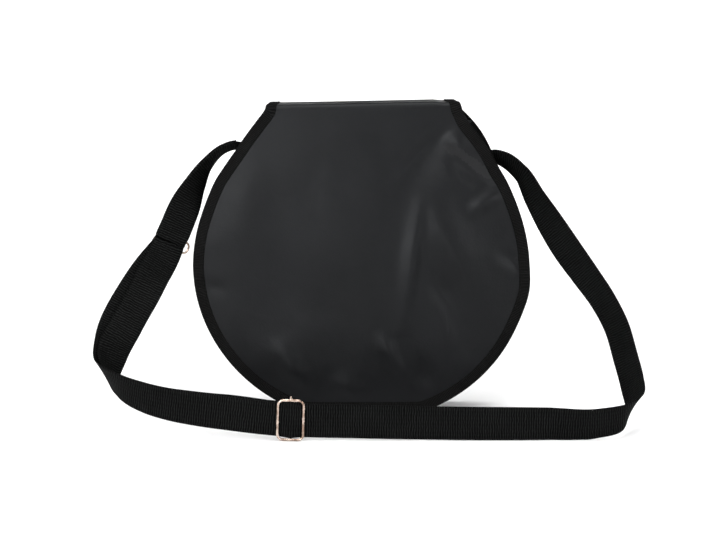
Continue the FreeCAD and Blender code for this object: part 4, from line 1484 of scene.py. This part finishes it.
def edge_tape(name, surface, line, inner, finish, width=11.0):
    """A folded tape round the edge line of a surface."""
    ring = tape_section(width)
    places = line[:, None, :] + inward_normals(line, inner)[:, None, :] * ring[None, :, :1]
    outward = surface_normals(surface, places)
    along, girth = line_lengths(line), line_lengths(ring)
    pucker = np.sin(along * 2 * math.pi / STITCH_PITCH)[:, None] * (ring[None, :, 0] > width * 0.6)
    height = ring[None, :, 1:] * (1 + PUCKER * pucker)[..., None]
    points = surface(places[..., 0], places[..., 1]) + outward * height * MM
    count, rows = len(ring), len(line)
    faces = [(i * count + k, i * count + (k + 1) % count, (i + 1) * count + (k + 1) % count,
              (i + 1) * count + k) for i in range(rows - 1) for k in range(count)]
    faces += [tuple(range(count)), tuple(range((rows - 1) * count, rows * count))]
    mesh = bpy.data.meshes.new(name)
    mesh.from_pydata(points.reshape(-1, 3).tolist(), [], faces)
    layer = mesh.uv_layers.new(name="strip")
    for loop in mesh.loops:
        i, k = divmod(loop.vertex_index, count)
        layer.data[loop.index].uv = (along[i] * MM, girth[k] * MM)
    return add_object(name, mesh, finish)


TAPE_STEP = STITCH_PITCH / 2


def whole_edge(left, right):
    """Down the left half of an edge, along the foot and up the right half."""
    return resample(np.concatenate([left, right[::-1][1:]]), TAPE_STEP)


flap_line = whole_edge(edge_left, edge_right)
flap_tape = edge_tape("flap_binding_tape", flap_surface, flap_line, FLAP_INNER, tape_finish, width=12.6)
print("tape on the flap: %.2f m" % (line_lengths(flap_line)[-1] * MM))

# %% [markdown]
# ### The flap in the frame
# Each piece says which part of the frame it stands for, what it is made of and which body carries it. The
# flap is sewn to the bag and swings with its own body, so along the seam it bends from one to the other.

# %% The flap's pieces and the frame
fold_start, fold_end = (0, 0.0225, 0.3550), (0, 0.0125, 0.3550)
for piece, replaced, slot in ((flap_panel, "flap_panel", "coated_fabric"),
                              (flap_tape, "flap_binding", "binding_tape")):
    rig.replaces(piece, replaced)
    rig.slot(piece, slot)
    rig.blend(piece, "bag", "flap", start=fold_start, end=fold_end)
print("the flap bends over %.0f mm behind its hinge" % ((fold_start[1] - fold_end[1]) / MM))

# %% [markdown]
# ## The pocket's two panels
# The pocket is sewn inside out from two round panels and one long strip, the gusset, and its seams stand
# outwards as a flat bound rim. The panels are sheets over the same outline as the flap. They are held flat
# at their rim and swell in the middle. The front one takes the flap's hollows, so that the flap never
# sinks into it, and the back one has a few folds of its own.

# %% The panels' surfaces
DEPTH_AT_FOOT, NARROWING, POCKET_INNER = 70.0, 28.0, (0, -170)
BACK_SWELL, FRONT_RIM, BACK_RIM, BACK_RIM_END = 4.4, 0.14, 0.25, 1.02    # the rims as shares of the outline
BACK_FOLDS = [
    ([(-70, 300), (-60, 230), (-84, 160)], 2.4, 16, 22),
    ([(96, 280), (70, 210), (76, 130)], -2.4, 20, 16),
    ([(10, 330), (4, 250), (-14, 180)], 1.8, 22, 14),
    ([(30, 120), (60, 70), (96, 44)], 2.2, 12, 16),
    ([(-120, 140), (-84, 84), (-40, 50)], -2.2, 14, 18),
]


def depth_at(z):
    """The bag is deepest at its foot, and narrower at its mouth."""
    return DEPTH_AT_FOOT - NARROWING * z / HEIGHT


def front_push(x, z):
    full, rim = swell(x, z)
    return (full + np.minimum(fold_push(x, z), 0)) * np.clip((1 - rim) / FRONT_RIM, 0, 1)


def back_push(x, z):
    edge = np.hypot(x / 185, (z - 168) / 190)
    uneven = 1.0 * soft_noise(x, z, 62, 12.3) + 0.4 * soft_noise(x, z, 26, 4.9)
    inner = np.clip((BACK_RIM_END - edge) / BACK_RIM, 0, 1)
    return BACK_SWELL * np.clip(1 - edge**2, 0, 1) + inner * (all_folds(x, z, BACK_FOLDS) + uneven)


def panel_surface(side, push):
    def surface(x, s):
        return np.stack([x, side * (depth_at(-s) / 2 - CLOTH / 2 + push(x, -s)), -s], -1) * MM
    return surface


front_surface, back_surface = panel_surface(-1, front_push), panel_surface(1, back_push)
print("the pocket is %.0f mm deep at its foot and %.0f at its mouth" % (depth_at(0), depth_at(HEIGHT)))

# %% The panels' cloth
FRONT_TOP, BACK_TOP, BACK_SEAM_TOP, PANEL_CELL = 336.0, 352.5, 348.5, 3.0
POCKET_FOOT, POCKET_CORNER = 0.0, 24.0


def edge_pair(top):
    """Both halves of a panel's edge, as (x, s) with s pointing down."""
    return [half_edge(BODY_SIDES, side, top, POCKET_FOOT, POCKET_CORNER) * [1, -1] for side in (-1, 1)]


def body_panel(name, surface, top):
    """A panel's cloth and its flat area."""
    cuts = []
    for edge in edge_pair(top):
        edge = resample(edge, EDGE_STEP)
        cut = edge + inward_normals(edge, POCKET_INNER) * SEAM_EDGE
        cut[0, 1] = edge[0, 1]
        cuts.append(cut * [1, -1])
    places = patch_grid(*cuts, PANEL_CELL) * [1, -1]
    return (cloth_piece(name, surface(places[..., 0], places[..., 1]), CLOTH, places * MM),
            flat_area(places * MM))


front_cloth, front_area = body_panel("front_cloth", front_surface, FRONT_TOP)
back_cloth, back_area = body_panel("back_cloth", back_surface, BACK_TOP)
print("panels: %.4f and %.4f m2" % (front_area, back_area))

# %% [markdown]
# ## The gusset
# The gusset is one long strip that follows the outline a tape's width further in, from mouth to mouth. It
# bellies out between its two seams and puckers a little, as cloth does that is eased round a bend. Its
# grid runs along the outline and across the depth of the bag.

# %% Gusset
GUSSET_IN, GUSSET_THICK, GUSSET_CELL, GUSSET_COLUMNS = 11.3, 1.5, 2.4, 19
BELLY, PUCKERS, SEAM_ROOM, BASE = 4.2, (1.1, 0.45), 1.7, 1.0


def gusset_points(line):
    """Rows along the line, columns from the front panel to the back panel: places, flat places, length."""
    along = line_lengths(line)
    across = np.linspace(-1, 1, GUSSET_COLUMNS)[None, :]
    x, z = line[:, :1], -line[:, 1:]
    outward = -inward_normals(line, POCKET_INNER)
    half = depth_at(z) / 2 - SEAM_ROOM
    s = along[:, None] + 0 * across
    pucker = PUCKERS[0] * soft_noise(s, across * half, 22, 31.0)
    pucker = pucker + PUCKERS[1] * soft_noise(s, across * half, 9, 2.2)
    push = BELLY * (1 - across**2) ** 0.8 + pucker * np.clip(1 - across**2, 0, 1) - 0.3
    points = np.stack([x + outward[:, :1] * push, half * across + 0 * x, z - outward[:, 1:] * push], -1)
    points[..., 2] = np.maximum(points[..., 2], BASE)      # the base lies just above the floor
    return points * MM, np.stack([across * half + 0 * x, s], -1) * MM, along[-1] * MM


seam_line = whole_edge(*edge_pair(BACK_SEAM_TOP))
gusset_edge = resample(seam_line + inward_normals(seam_line, POCKET_INNER) * GUSSET_IN, GUSSET_CELL)
points, gusset_flat, gusset_length = gusset_points(gusset_edge)
gusset_cloth = cloth_piece("gusset_cloth", points, GUSSET_THICK, gusset_flat)
print("gusset: %.3f m long" % gusset_length)

# %% [markdown]
# ## Bindings and hem of the pocket
# Both seams are bound with the same folded tape as the flap, in a darker copy of its finish that paints the shade they
# lie in behind the flap, and a tape closes the edge of the mouth. They are carried along their own lines on the
# panels' surfaces.

# %% Bindings of the pocket and hem of the mouth
front_seam = whole_edge(*edge_pair(FRONT_TOP))
front_tape, back_tape = (edge_tape(name, surface, line, POCKET_INNER, pocket_tape_finish)
                         for name, surface, line in (("front_binding_tape", front_surface, front_seam),
                                                     ("back_binding_tape", back_surface, seam_line)))
HEM_WIDTH, HEM_POINTS, HEM_HEIGHT = 12.5, 120, 336.9
mouth_x = float(hermite([326, 337], [124.5, 116], FRONT_TOP)[0]) - HEM_WIDTH
mouth_line = np.stack([np.linspace(-mouth_x, mouth_x, HEM_POINTS), np.full(HEM_POINTS, -HEM_HEIGHT)], 1)
mouth_tape = edge_tape("mouth_hem_tape", front_surface, mouth_line, POCKET_INNER, tape_finish, HEM_WIDTH)
print("mouth: %.0f mm wide" % (2 * mouth_x))

# %% The pocket's pieces and the frame
for piece, replaced, slot in ((front_cloth, "front_panel", "coated_fabric"),
                              (back_cloth, "back_panel", "coated_fabric"),
                              (gusset_cloth, "gusset", "coated_fabric"),
                              (front_tape, "front_binding", "binding_tape"),
                              (back_tape, "back_binding", "binding_tape"),
                              (mouth_tape, "mouth_hem", "binding_tape")):
    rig.replaces(piece, replaced)
    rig.slot(piece, slot)
    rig.ride(piece, "bag")
print("the pocket rides with the bag")

# %% [markdown]
# ## Wire ring
# The ring is bent from plated steel wire into a flat loop, a little tilted in its tab. A line through the
# middle of the wire is drawn first, with true arcs at its corners, and the wire tree gives it its body.

# %% A rounded rectangle, as a line
def rounded_line(middle, across, down, half_across, half_down, corner, count=9, spacing=0.001):
    """Points of a closed rounded rectangle, going round once, on its straight runs too."""
    made = []
    for quarter, (u, v) in enumerate(((1, -1), (1, 1), (-1, 1), (-1, -1))):
        for k in range(count):
            angle = math.pi / 2 * (quarter - 1 + k / (count - 1))
            made.append(middle + across * (u * (half_across - corner) + corner * math.cos(angle))
                        + down * (v * (half_down - corner) + corner * math.sin(angle)))
    filled = []
    for a, b in zip(made, made[1:] + made[:1]):
        steps = max(1, round((b - a).length / spacing))
        filled += [a.lerp(b, k / steps) for k in range(steps)]
    return filled


def wire_piece(name, points, radius, finish, replaced, body, closed=True, sides=14):
    """A wire along a line, with its place in the frame."""
    mesh = grown_mesh(name, line_mesh(name + "_line", points, closed=closed), bent_wire,
                      {"Wire Radius": radius, "Sides": sides, "Material": finish})
    made = add_object(name, mesh, finish)
    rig.replaces(made, replaced)
    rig.slot(made, "plated_wire")
    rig.ride(made, body)
    return made

# %% Ring
RING_TILT, RING_HALF_WIDTH, RING_CORNER = 0.07, 0.0195, 0.0052
RING_HALF_HEIGHT = (RING_INSIDE + RING_WIRE) / 2 + 0.0009
wire_across = (RING_ACROSS + RING_DOWN * RING_TILT).normalized()
wire_down = (RING_DOWN - wire_across * RING_DOWN.dot(wire_across)).normalized()
ring_middle = RING - RING_ACROSS * 0.0029 + RING_DOWN * 0.0003
ring_line = rounded_line(ring_middle, wire_across, wire_down, RING_HALF_WIDTH, RING_HALF_HEIGHT, RING_CORNER)
wire_piece("ring_wire", ring_line, RING_WIRE / 2, ring_finish, "ring", "ring")
print("ring: %.1f x %.1f mm" % (2 * RING_HALF_WIDTH / MM, 2 * RING_HALF_HEIGHT / MM))

# %% [markdown]
# ## Slider
# The slider is a rounded rectangle of wire with a bar across its back. The front run of the strap passes
# between the two. The bar's upper end curls over the frame and shows as a small knob; its lower end stops
# under the edge of the strap, behind the frame, which stands on the floor.

# %% Slider frame
SLIDER_LEAN, SLIDER_DROP = math.radians(1.8), 0.0003
FRAME_WIRE, BAR_WIRE = 0.00145, 0.00120            # radii
FRAME_HALF_WIDTH, FRAME_HALF_HEIGHT, FRAME_CORNER = 0.0139, 0.0217, 0.0058
slider_across = Vector((math.cos(SLIDER_LEAN), 0, -math.sin(SLIDER_LEAN)))
slider_down = Vector((-math.sin(SLIDER_LEAN), 0, -math.cos(SLIDER_LEAN)))
frame_middle = Vector((SLIDER_X - 0.0004, RUN_Y - 0.0026, SLIDER_Z - SLIDER_DROP))
frame_line = rounded_line(frame_middle, slider_across, slider_down, FRAME_HALF_WIDTH, FRAME_HALF_HEIGHT,
                          FRAME_CORNER)
wire_piece("slider_wire", frame_line, FRAME_WIRE, metal_finish, "slider_frame", "slider")
print("frame: %.1f x %.1f mm" % (2 * FRAME_HALF_WIDTH / MM, 2 * FRAME_HALF_HEIGHT / MM))

# %% The slider's bar
bar_middle = Vector((SLIDER_X, BAR_Y, SLIDER_Z - SLIDER_DROP))
CURL = FRAME_WIRE + BAR_WIRE + 0.00005             # from the middle of the frame's wire to the curl's
KNOB = 0.0014                                      # how much higher the curl stands than it needs to


def bar_points():
    """From the lower end, behind the frame, along the bar's middle to the curl over the frame."""
    def beside(down, forward):
        return bar_middle + slider_down * down + Vector((0, forward, 0))

    lower_wire = frame_middle + slider_down * FRAME_HALF_HEIGHT
    upper_wire = frame_middle - slider_down * FRAME_HALF_HEIGHT
    made = [lower_wire + Vector((0, 0.0020, -0.0019)), beside(0.0235, -0.0026), beside(0.0219, -0.0008)]
    made += [beside(d / 1000, 0) for d in (18.5, 15, 10, 5, 0, -5, -10, -15, -18.5)]
    made += [beside(-0.0212, -0.0008), beside(-0.0234, -0.0030),
             upper_wire + Vector((0, (bar_middle.y - upper_wire.y) * 0.28, 0)) - slider_down * CURL]
    for k in range(8):
        angle = math.pi / 2 * k / 7
        rise = CURL * math.cos(angle) + KNOB * (1 + math.cos(angle)) / 2
        made.append(upper_wire - slider_down * rise - Vector((0, CURL * math.sin(angle), 0)))
    return made


smooth_bar = stations([(p, Vector((1, 0.001, 0))) for p in bar_points()], 0.0006)
wire_piece("slider_bar_wire", [place for place, _, _ in smooth_bar], BAR_WIRE, metal_finish, "slider_bar",
           "slider", closed=False, sides=12)
print("the bar's wire is %.0f mm long" % (lengths(smooth_bar)[-1] / MM))

# %% [markdown]
# ## The pile of hook and loop tape
# Pile is many equal small pieces on a surface, so a node tree sets one bent filament on every point of a
# grid, turned to stand on the cloth: part of a ring for a hook, most of a ring for a loop. Each one is
# spun and sized a little differently. Hair curves could do it too, but they don't leave the scene as a
# plain mesh.

# %% Pile on a surface
def pile_tree():
    tree, given, output = geometry_tree("pile", [
        ("Arc Radius", "Float", 0.0005), ("Sweep", "Float", 3.6), ("Filament Radius", "Float", 0.0001),
        ("Unevenness", "Float", 0.2), ("Turning", "Float", 0.4), ("Seed", "Int", 7),
        ("Material", "Material", None)])
    arc = node(tree, "GeometryNodeCurveArc", {"Resolution": 8, "Radius": given["Arc Radius"],
                                              "Start Angle": -math.pi / 2,
                                              "Sweep Angle": given["Sweep"]}).outputs["Curve"]
    section = node(tree, "GeometryNodeCurvePrimitiveCircle", {"Resolution": 4,
                                                              "Radius": given["Filament Radius"]})
    swept = node(tree, "GeometryNodeCurveToMesh", {"Curve": arc, "Profile Curve": section.outputs["Curve"],
                                                   "Fill Caps": True}).outputs["Mesh"]
    stood = node(tree, "GeometryNodeTransform", {
        "Geometry": swept, "Rotation": (math.pi / 2, 0, 0),
        "Translation": node(tree, "ShaderNodeCombineXYZ", {"Z": given["Arc Radius"]}).outputs["Vector"]})
    upright = node(tree, "FunctionNodeAlignRotationToVector", {"Vector": outward_of(tree)}, axis="Z")
    value = random_number(tree, {"Seed": given["Seed"]})
    angle = maths(tree, "MULTIPLY", maths(tree, "SUBTRACT", value, 0.5), given["Turning"])
    spun = node(tree, "FunctionNodeRotateRotation", {
        "Rotation": upright.outputs["Rotation"],
        "Rotate By": node(tree, "ShaderNodeCombineXYZ", {"Z": angle}).outputs["Vector"]},
        rotation_space="LOCAL")
    size = maths(tree, "MULTIPLY_ADD", value, given["Unevenness"])
    spread = node(tree, "GeometryNodeInstanceOnPoints", {
        "Points": given["Geometry"], "Instance": stood.outputs["Geometry"],
        "Rotation": spun.outputs["Rotation"],
        "Scale": node(tree, "ShaderNodeCombineXYZ", {"X": size, "Y": size, "Z": size}).outputs["Vector"]})
    finish_tree(tree, spread.outputs["Instances"], given, output)
    return tree


pile = pile_tree()
print("pile:", len(pile.nodes), "nodes")

# %% [markdown]
# ## Hook and loop tape
# The flap is held shut by a strip of hooks on its inside and a wider strip of loops on the pocket. Each is
# a woven backing with its pile on top. The backing is a small sheet laid on the surface that it is sewn
# to, and its pile stands on the inner points of its grid.

# %% A pad of backing and pile
CLOTH_FACE, BACKING = 0.8, 0.7                     # from the cloth's middle to its face, and the backing on it


def pad(name, place, width, low, high, pitch, pile_sizes):
    """A rectangle of backing on a surface, with its pile; place(x, z) gives points and outward normals."""
    columns, rows = int(width / pitch), int((high - low) / pitch)
    x, z = np.meshgrid(np.linspace(-width / 2, width / 2, columns), np.linspace(high, low, rows))
    points, outward = place(x, z)
    mesh = sheet_mesh(name, points + outward * (CLOTH_FACE + BACKING / 2) * MM, outward, BACKING * MM,
                      np.stack([x, z], -1) * MM)
    roots, standing = (values[1:-1, 1:-1].reshape(-1, 3)
                       for values in (points + outward * (CLOTH_FACE + BACKING) * MM, outward))
    grown = grown_mesh(name + "_pile", line_mesh(name, roots, standing), pile,
                       {**pile_sizes, "Material": pile_finish})
    work = bmesh.new()
    work.from_mesh(mesh)
    work.from_mesh(grown)
    work.to_mesh(mesh)
    work.free()
    bpy.data.meshes.remove(grown)
    return add_object(name, mesh, pile_finish)

# %% The hook pad inside the flap and the loop pad on the pocket
def inside_flap(x, z):
    s = front_distance(z)
    return flap_surface(x, s), -surface_normals(flap_surface, np.stack([x, s], -1))


def on_pocket(x, z):
    return front_surface(x, -z), surface_normals(front_surface, np.stack([x, -z], -1))


hook_pad = pad("hook_pad", inside_flap, 90, 65.5, 90.5, 1.7,
               {"Arc Radius": 0.00035, "Sweep": 3.9, "Filament Radius": 0.0001, "Unevenness": 0.2,
                "Turning": 0.3, "Seed": 5})
loop_pad = pad("loop_pad", on_pocket, 100, 59.0, 97.0, 2.0,
               {"Arc Radius": 0.00045, "Sweep": 5.4, "Filament Radius": 0.00008, "Unevenness": 0.6,
                "Turning": 6.28, "Seed": 8})
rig.replaces(hook_pad, "hook_tape")
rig.replaces(loop_pad, "loop_tape")
for piece, body in ((hook_pad, "flap"), (loop_pad, "bag")):
    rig.slot(piece, "hook_and_loop")
    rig.ride(piece, body)
    print(piece.name, "rides with the", body)

# %% [markdown]
# ## Stitches on cloth and tape
# The bag is held together by lockstitch in black thread: one row along the inner edge of every binding,
# shown on both faces, two rows through the flap's sewn end and one round each pad. A machine sets its
# stitches at one pitch, so each row is a line on the sewn surface, handed to the tree.

# %% Rows on a surface
SEAM_HALF, SEAM_POINTS, SEAM_ROWS, SEAM_HEIGHT = 88, 90, (4.0, 11.5), 0.95


def both_faces(surface, line, inner, distance=9.3, height=1.78):
    """Two rows, one on each face: distance in from the edge line, height over the cloth's middle."""
    places = line + inward_normals(line, inner) * distance
    middle, normal = surface(places[..., 0], places[..., 1]), surface_normals(surface, places)
    return [(middle + normal * side * height * MM, normal * side) for side in (1, -1)]


def frame_rows(place, half, low, high, height=1.6):
    """Four rows round the edge of a pad."""
    corners = [(-half, low), (half, low), (half, high), (-half, high), (-half, low)]
    rows = []
    for (x0, z0), (x1, z1) in zip(corners, corners[1:]):
        t = np.linspace(0, 1, 24)
        points, outward = place(x0 + (x1 - x0) * t, z0 + (z1 - z0) * t)
        rows.append((points + outward * height * MM, outward))
    return rows


seam_x = np.linspace(-SEAM_HALF, SEAM_HALF, SEAM_POINTS)
seam_out = np.tile([0.0, 1.0, 0.0], (SEAM_POINTS, 1))
flap_rows = both_faces(flap_surface, flap_line, FLAP_INNER, distance=10.9)
flap_rows += [(flap_surface(seam_x, np.full(SEAM_POINTS, s)) + seam_out * SEAM_HEIGHT * MM, seam_out)
              for s in SEAM_ROWS]
pocket_rows = both_faces(front_surface, front_seam, POCKET_INNER)
pocket_rows += both_faces(back_surface, seam_line, POCKET_INNER)
pocket_rows += both_faces(front_surface, mouth_line, POCKET_INNER, distance=10.6)
pocket_rows += frame_rows(on_pocket, 48, 61.0, 95.0)
print("rows:", len(flap_rows), "on the flap,", len(pocket_rows), "on the pocket")

# %% Stitches on flap, pads and pocket
flap_stitches = stitches("flap_stitches", flap_rows)
hook_stitches = stitches("hook_pad_stitches", frame_rows(inside_flap, 43, 67.5, 88.5))
pocket_stitches = stitches("pocket_stitches", pocket_rows)
for piece in (flap_stitches, hook_stitches, pocket_stitches):
    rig.slot(piece, "binding_tape")
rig.blend(flap_stitches, "bag", "flap", start=fold_start, end=fold_end)
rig.ride(hook_stitches, "flap")
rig.ride(pocket_stitches, "bag")
print("the pads' and the pocket's stitches ride with what they hold")

# %% [markdown]
# ## Stitches on the webbing
# The sewn ends of strap and tab are held by a box of stitches with a line across it, and the places where
# webbing is sewn to itself by two rows. Distances along the strap are already known, so a row is given as
# corners (distance along, distance across).

# %% Boxes and rows on the webbing
BOX = [(0.003, -0.0155), (0.029, -0.0155), (0.029, 0.0155), (0.003, 0.0155), (0.003, -0.0155), (0.029, 0.0155)]
CROSS_HALF, ON_FACE = 0.016, WEB / 2 + 0.00006


def on_webbing(line, along, side, corners):
    """Stitches on a strip's face, between corners given as (distance, across)."""
    points, outward = [], []
    for (s0, t0), (s1, t1) in zip(corners, corners[1:]):
        for u in np.linspace(0, 1, 14)[:-1]:
            s, t = s0 + (s1 - s0) * u, t0 + (t1 - t0) * u
            i = min(range(len(along)), key=lambda k: abs(along[k] - s))
            middle, across, normal = line[i]
            tangent = across.cross(normal)
            if i + 1 < len(line) and tangent.dot(line[i + 1][0] - middle) <= 0:
                tangent = -tangent
            points.append(middle + tangent * (s - along[i]) + across * t + normal * (side * ON_FACE))
            outward.append(normal * side)
    return points, outward


def cross_rows(line, along, side, places):
    return [on_webbing(line, along, side, [(s, -CROSS_HALF), (s, CROSS_HALF)]) for s in places]


strap_rows = [on_webbing(strap_line, strap_along, -1, BOX)]
tab_rows = [on_webbing(tab_stations, tab_lengths, 1, BOX)]
tab_rows += cross_rows(tab_stations, tab_lengths, -1, (0.076, 0.0795))
tail_rows = cross_rows(strap_line, strap_along, 1, (strap_along[-1] - 0.004, strap_along[-1] - 0.008))
for name, rows, ends, bend in (("strap_stitches", strap_rows, ("bag", "strap"), STRAP_PEEL),
                               ("tab_stitches", tab_rows, ("bag", "strap"), TAB_PEEL),
                               ("tail_stitches", tail_rows, ("strap", "slider"), LOOP_RANGE)):
    sewn = stitches(name, rows)
    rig.slot(sewn, "webbing")
    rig.blend(sewn, *ends, **bend)

# %% [markdown]
# ## What each cloth was cut to
# Every panel of coated fabric is a sheet that was cut flat, so its cut is written down with it. Webbing
# and binding tape are narrow woven strips with their own thickness, and are modelled as they lie.

# %% Sheets
CLOTH_WIDTH, GUSSET_WIDTH = 0.379, 0.067
flap_length, flap_area = float(np.ptp(grid[..., 1])) * MM, flat_area(grid * MM)
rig.sheet(flap_panel, flat=(CLOTH_WIDTH, flap_length), held="draped", rests_on=[front_cloth, loop_pad],
         area=flap_area, with_pieces=[flap_tape, flap_stitches, hook_pad, hook_stitches])
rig.sheet(front_cloth, flat=(CLOTH_WIDTH, 0.336), held="stretched", rests_on=[gusset_cloth], area=front_area,
         with_pieces=[front_tape, mouth_tape, loop_pad])
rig.sheet(back_cloth, flat=(CLOTH_WIDTH, 0.353), held="stretched", rests_on=[gusset_cloth], area=back_area,
         with_pieces=[back_tape])
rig.sheet(gusset_cloth, flat=(GUSSET_WIDTH, gusset_length), held="stretched",
         rests_on=[front_cloth, back_cloth], area=flat_area(gusset_flat))
print("flap %.3f x %.3f m, %.4f m2; gusset %.3f m long" % (CLOTH_WIDTH, flap_length, flap_area, gusset_length))

# %% Finishing
size = {"cad": cad_box, "visual": [list(corner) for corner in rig.bounds()]}
with open("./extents.json", "w") as out:
    json.dump(size, out)
print("visual box", size["visual"])
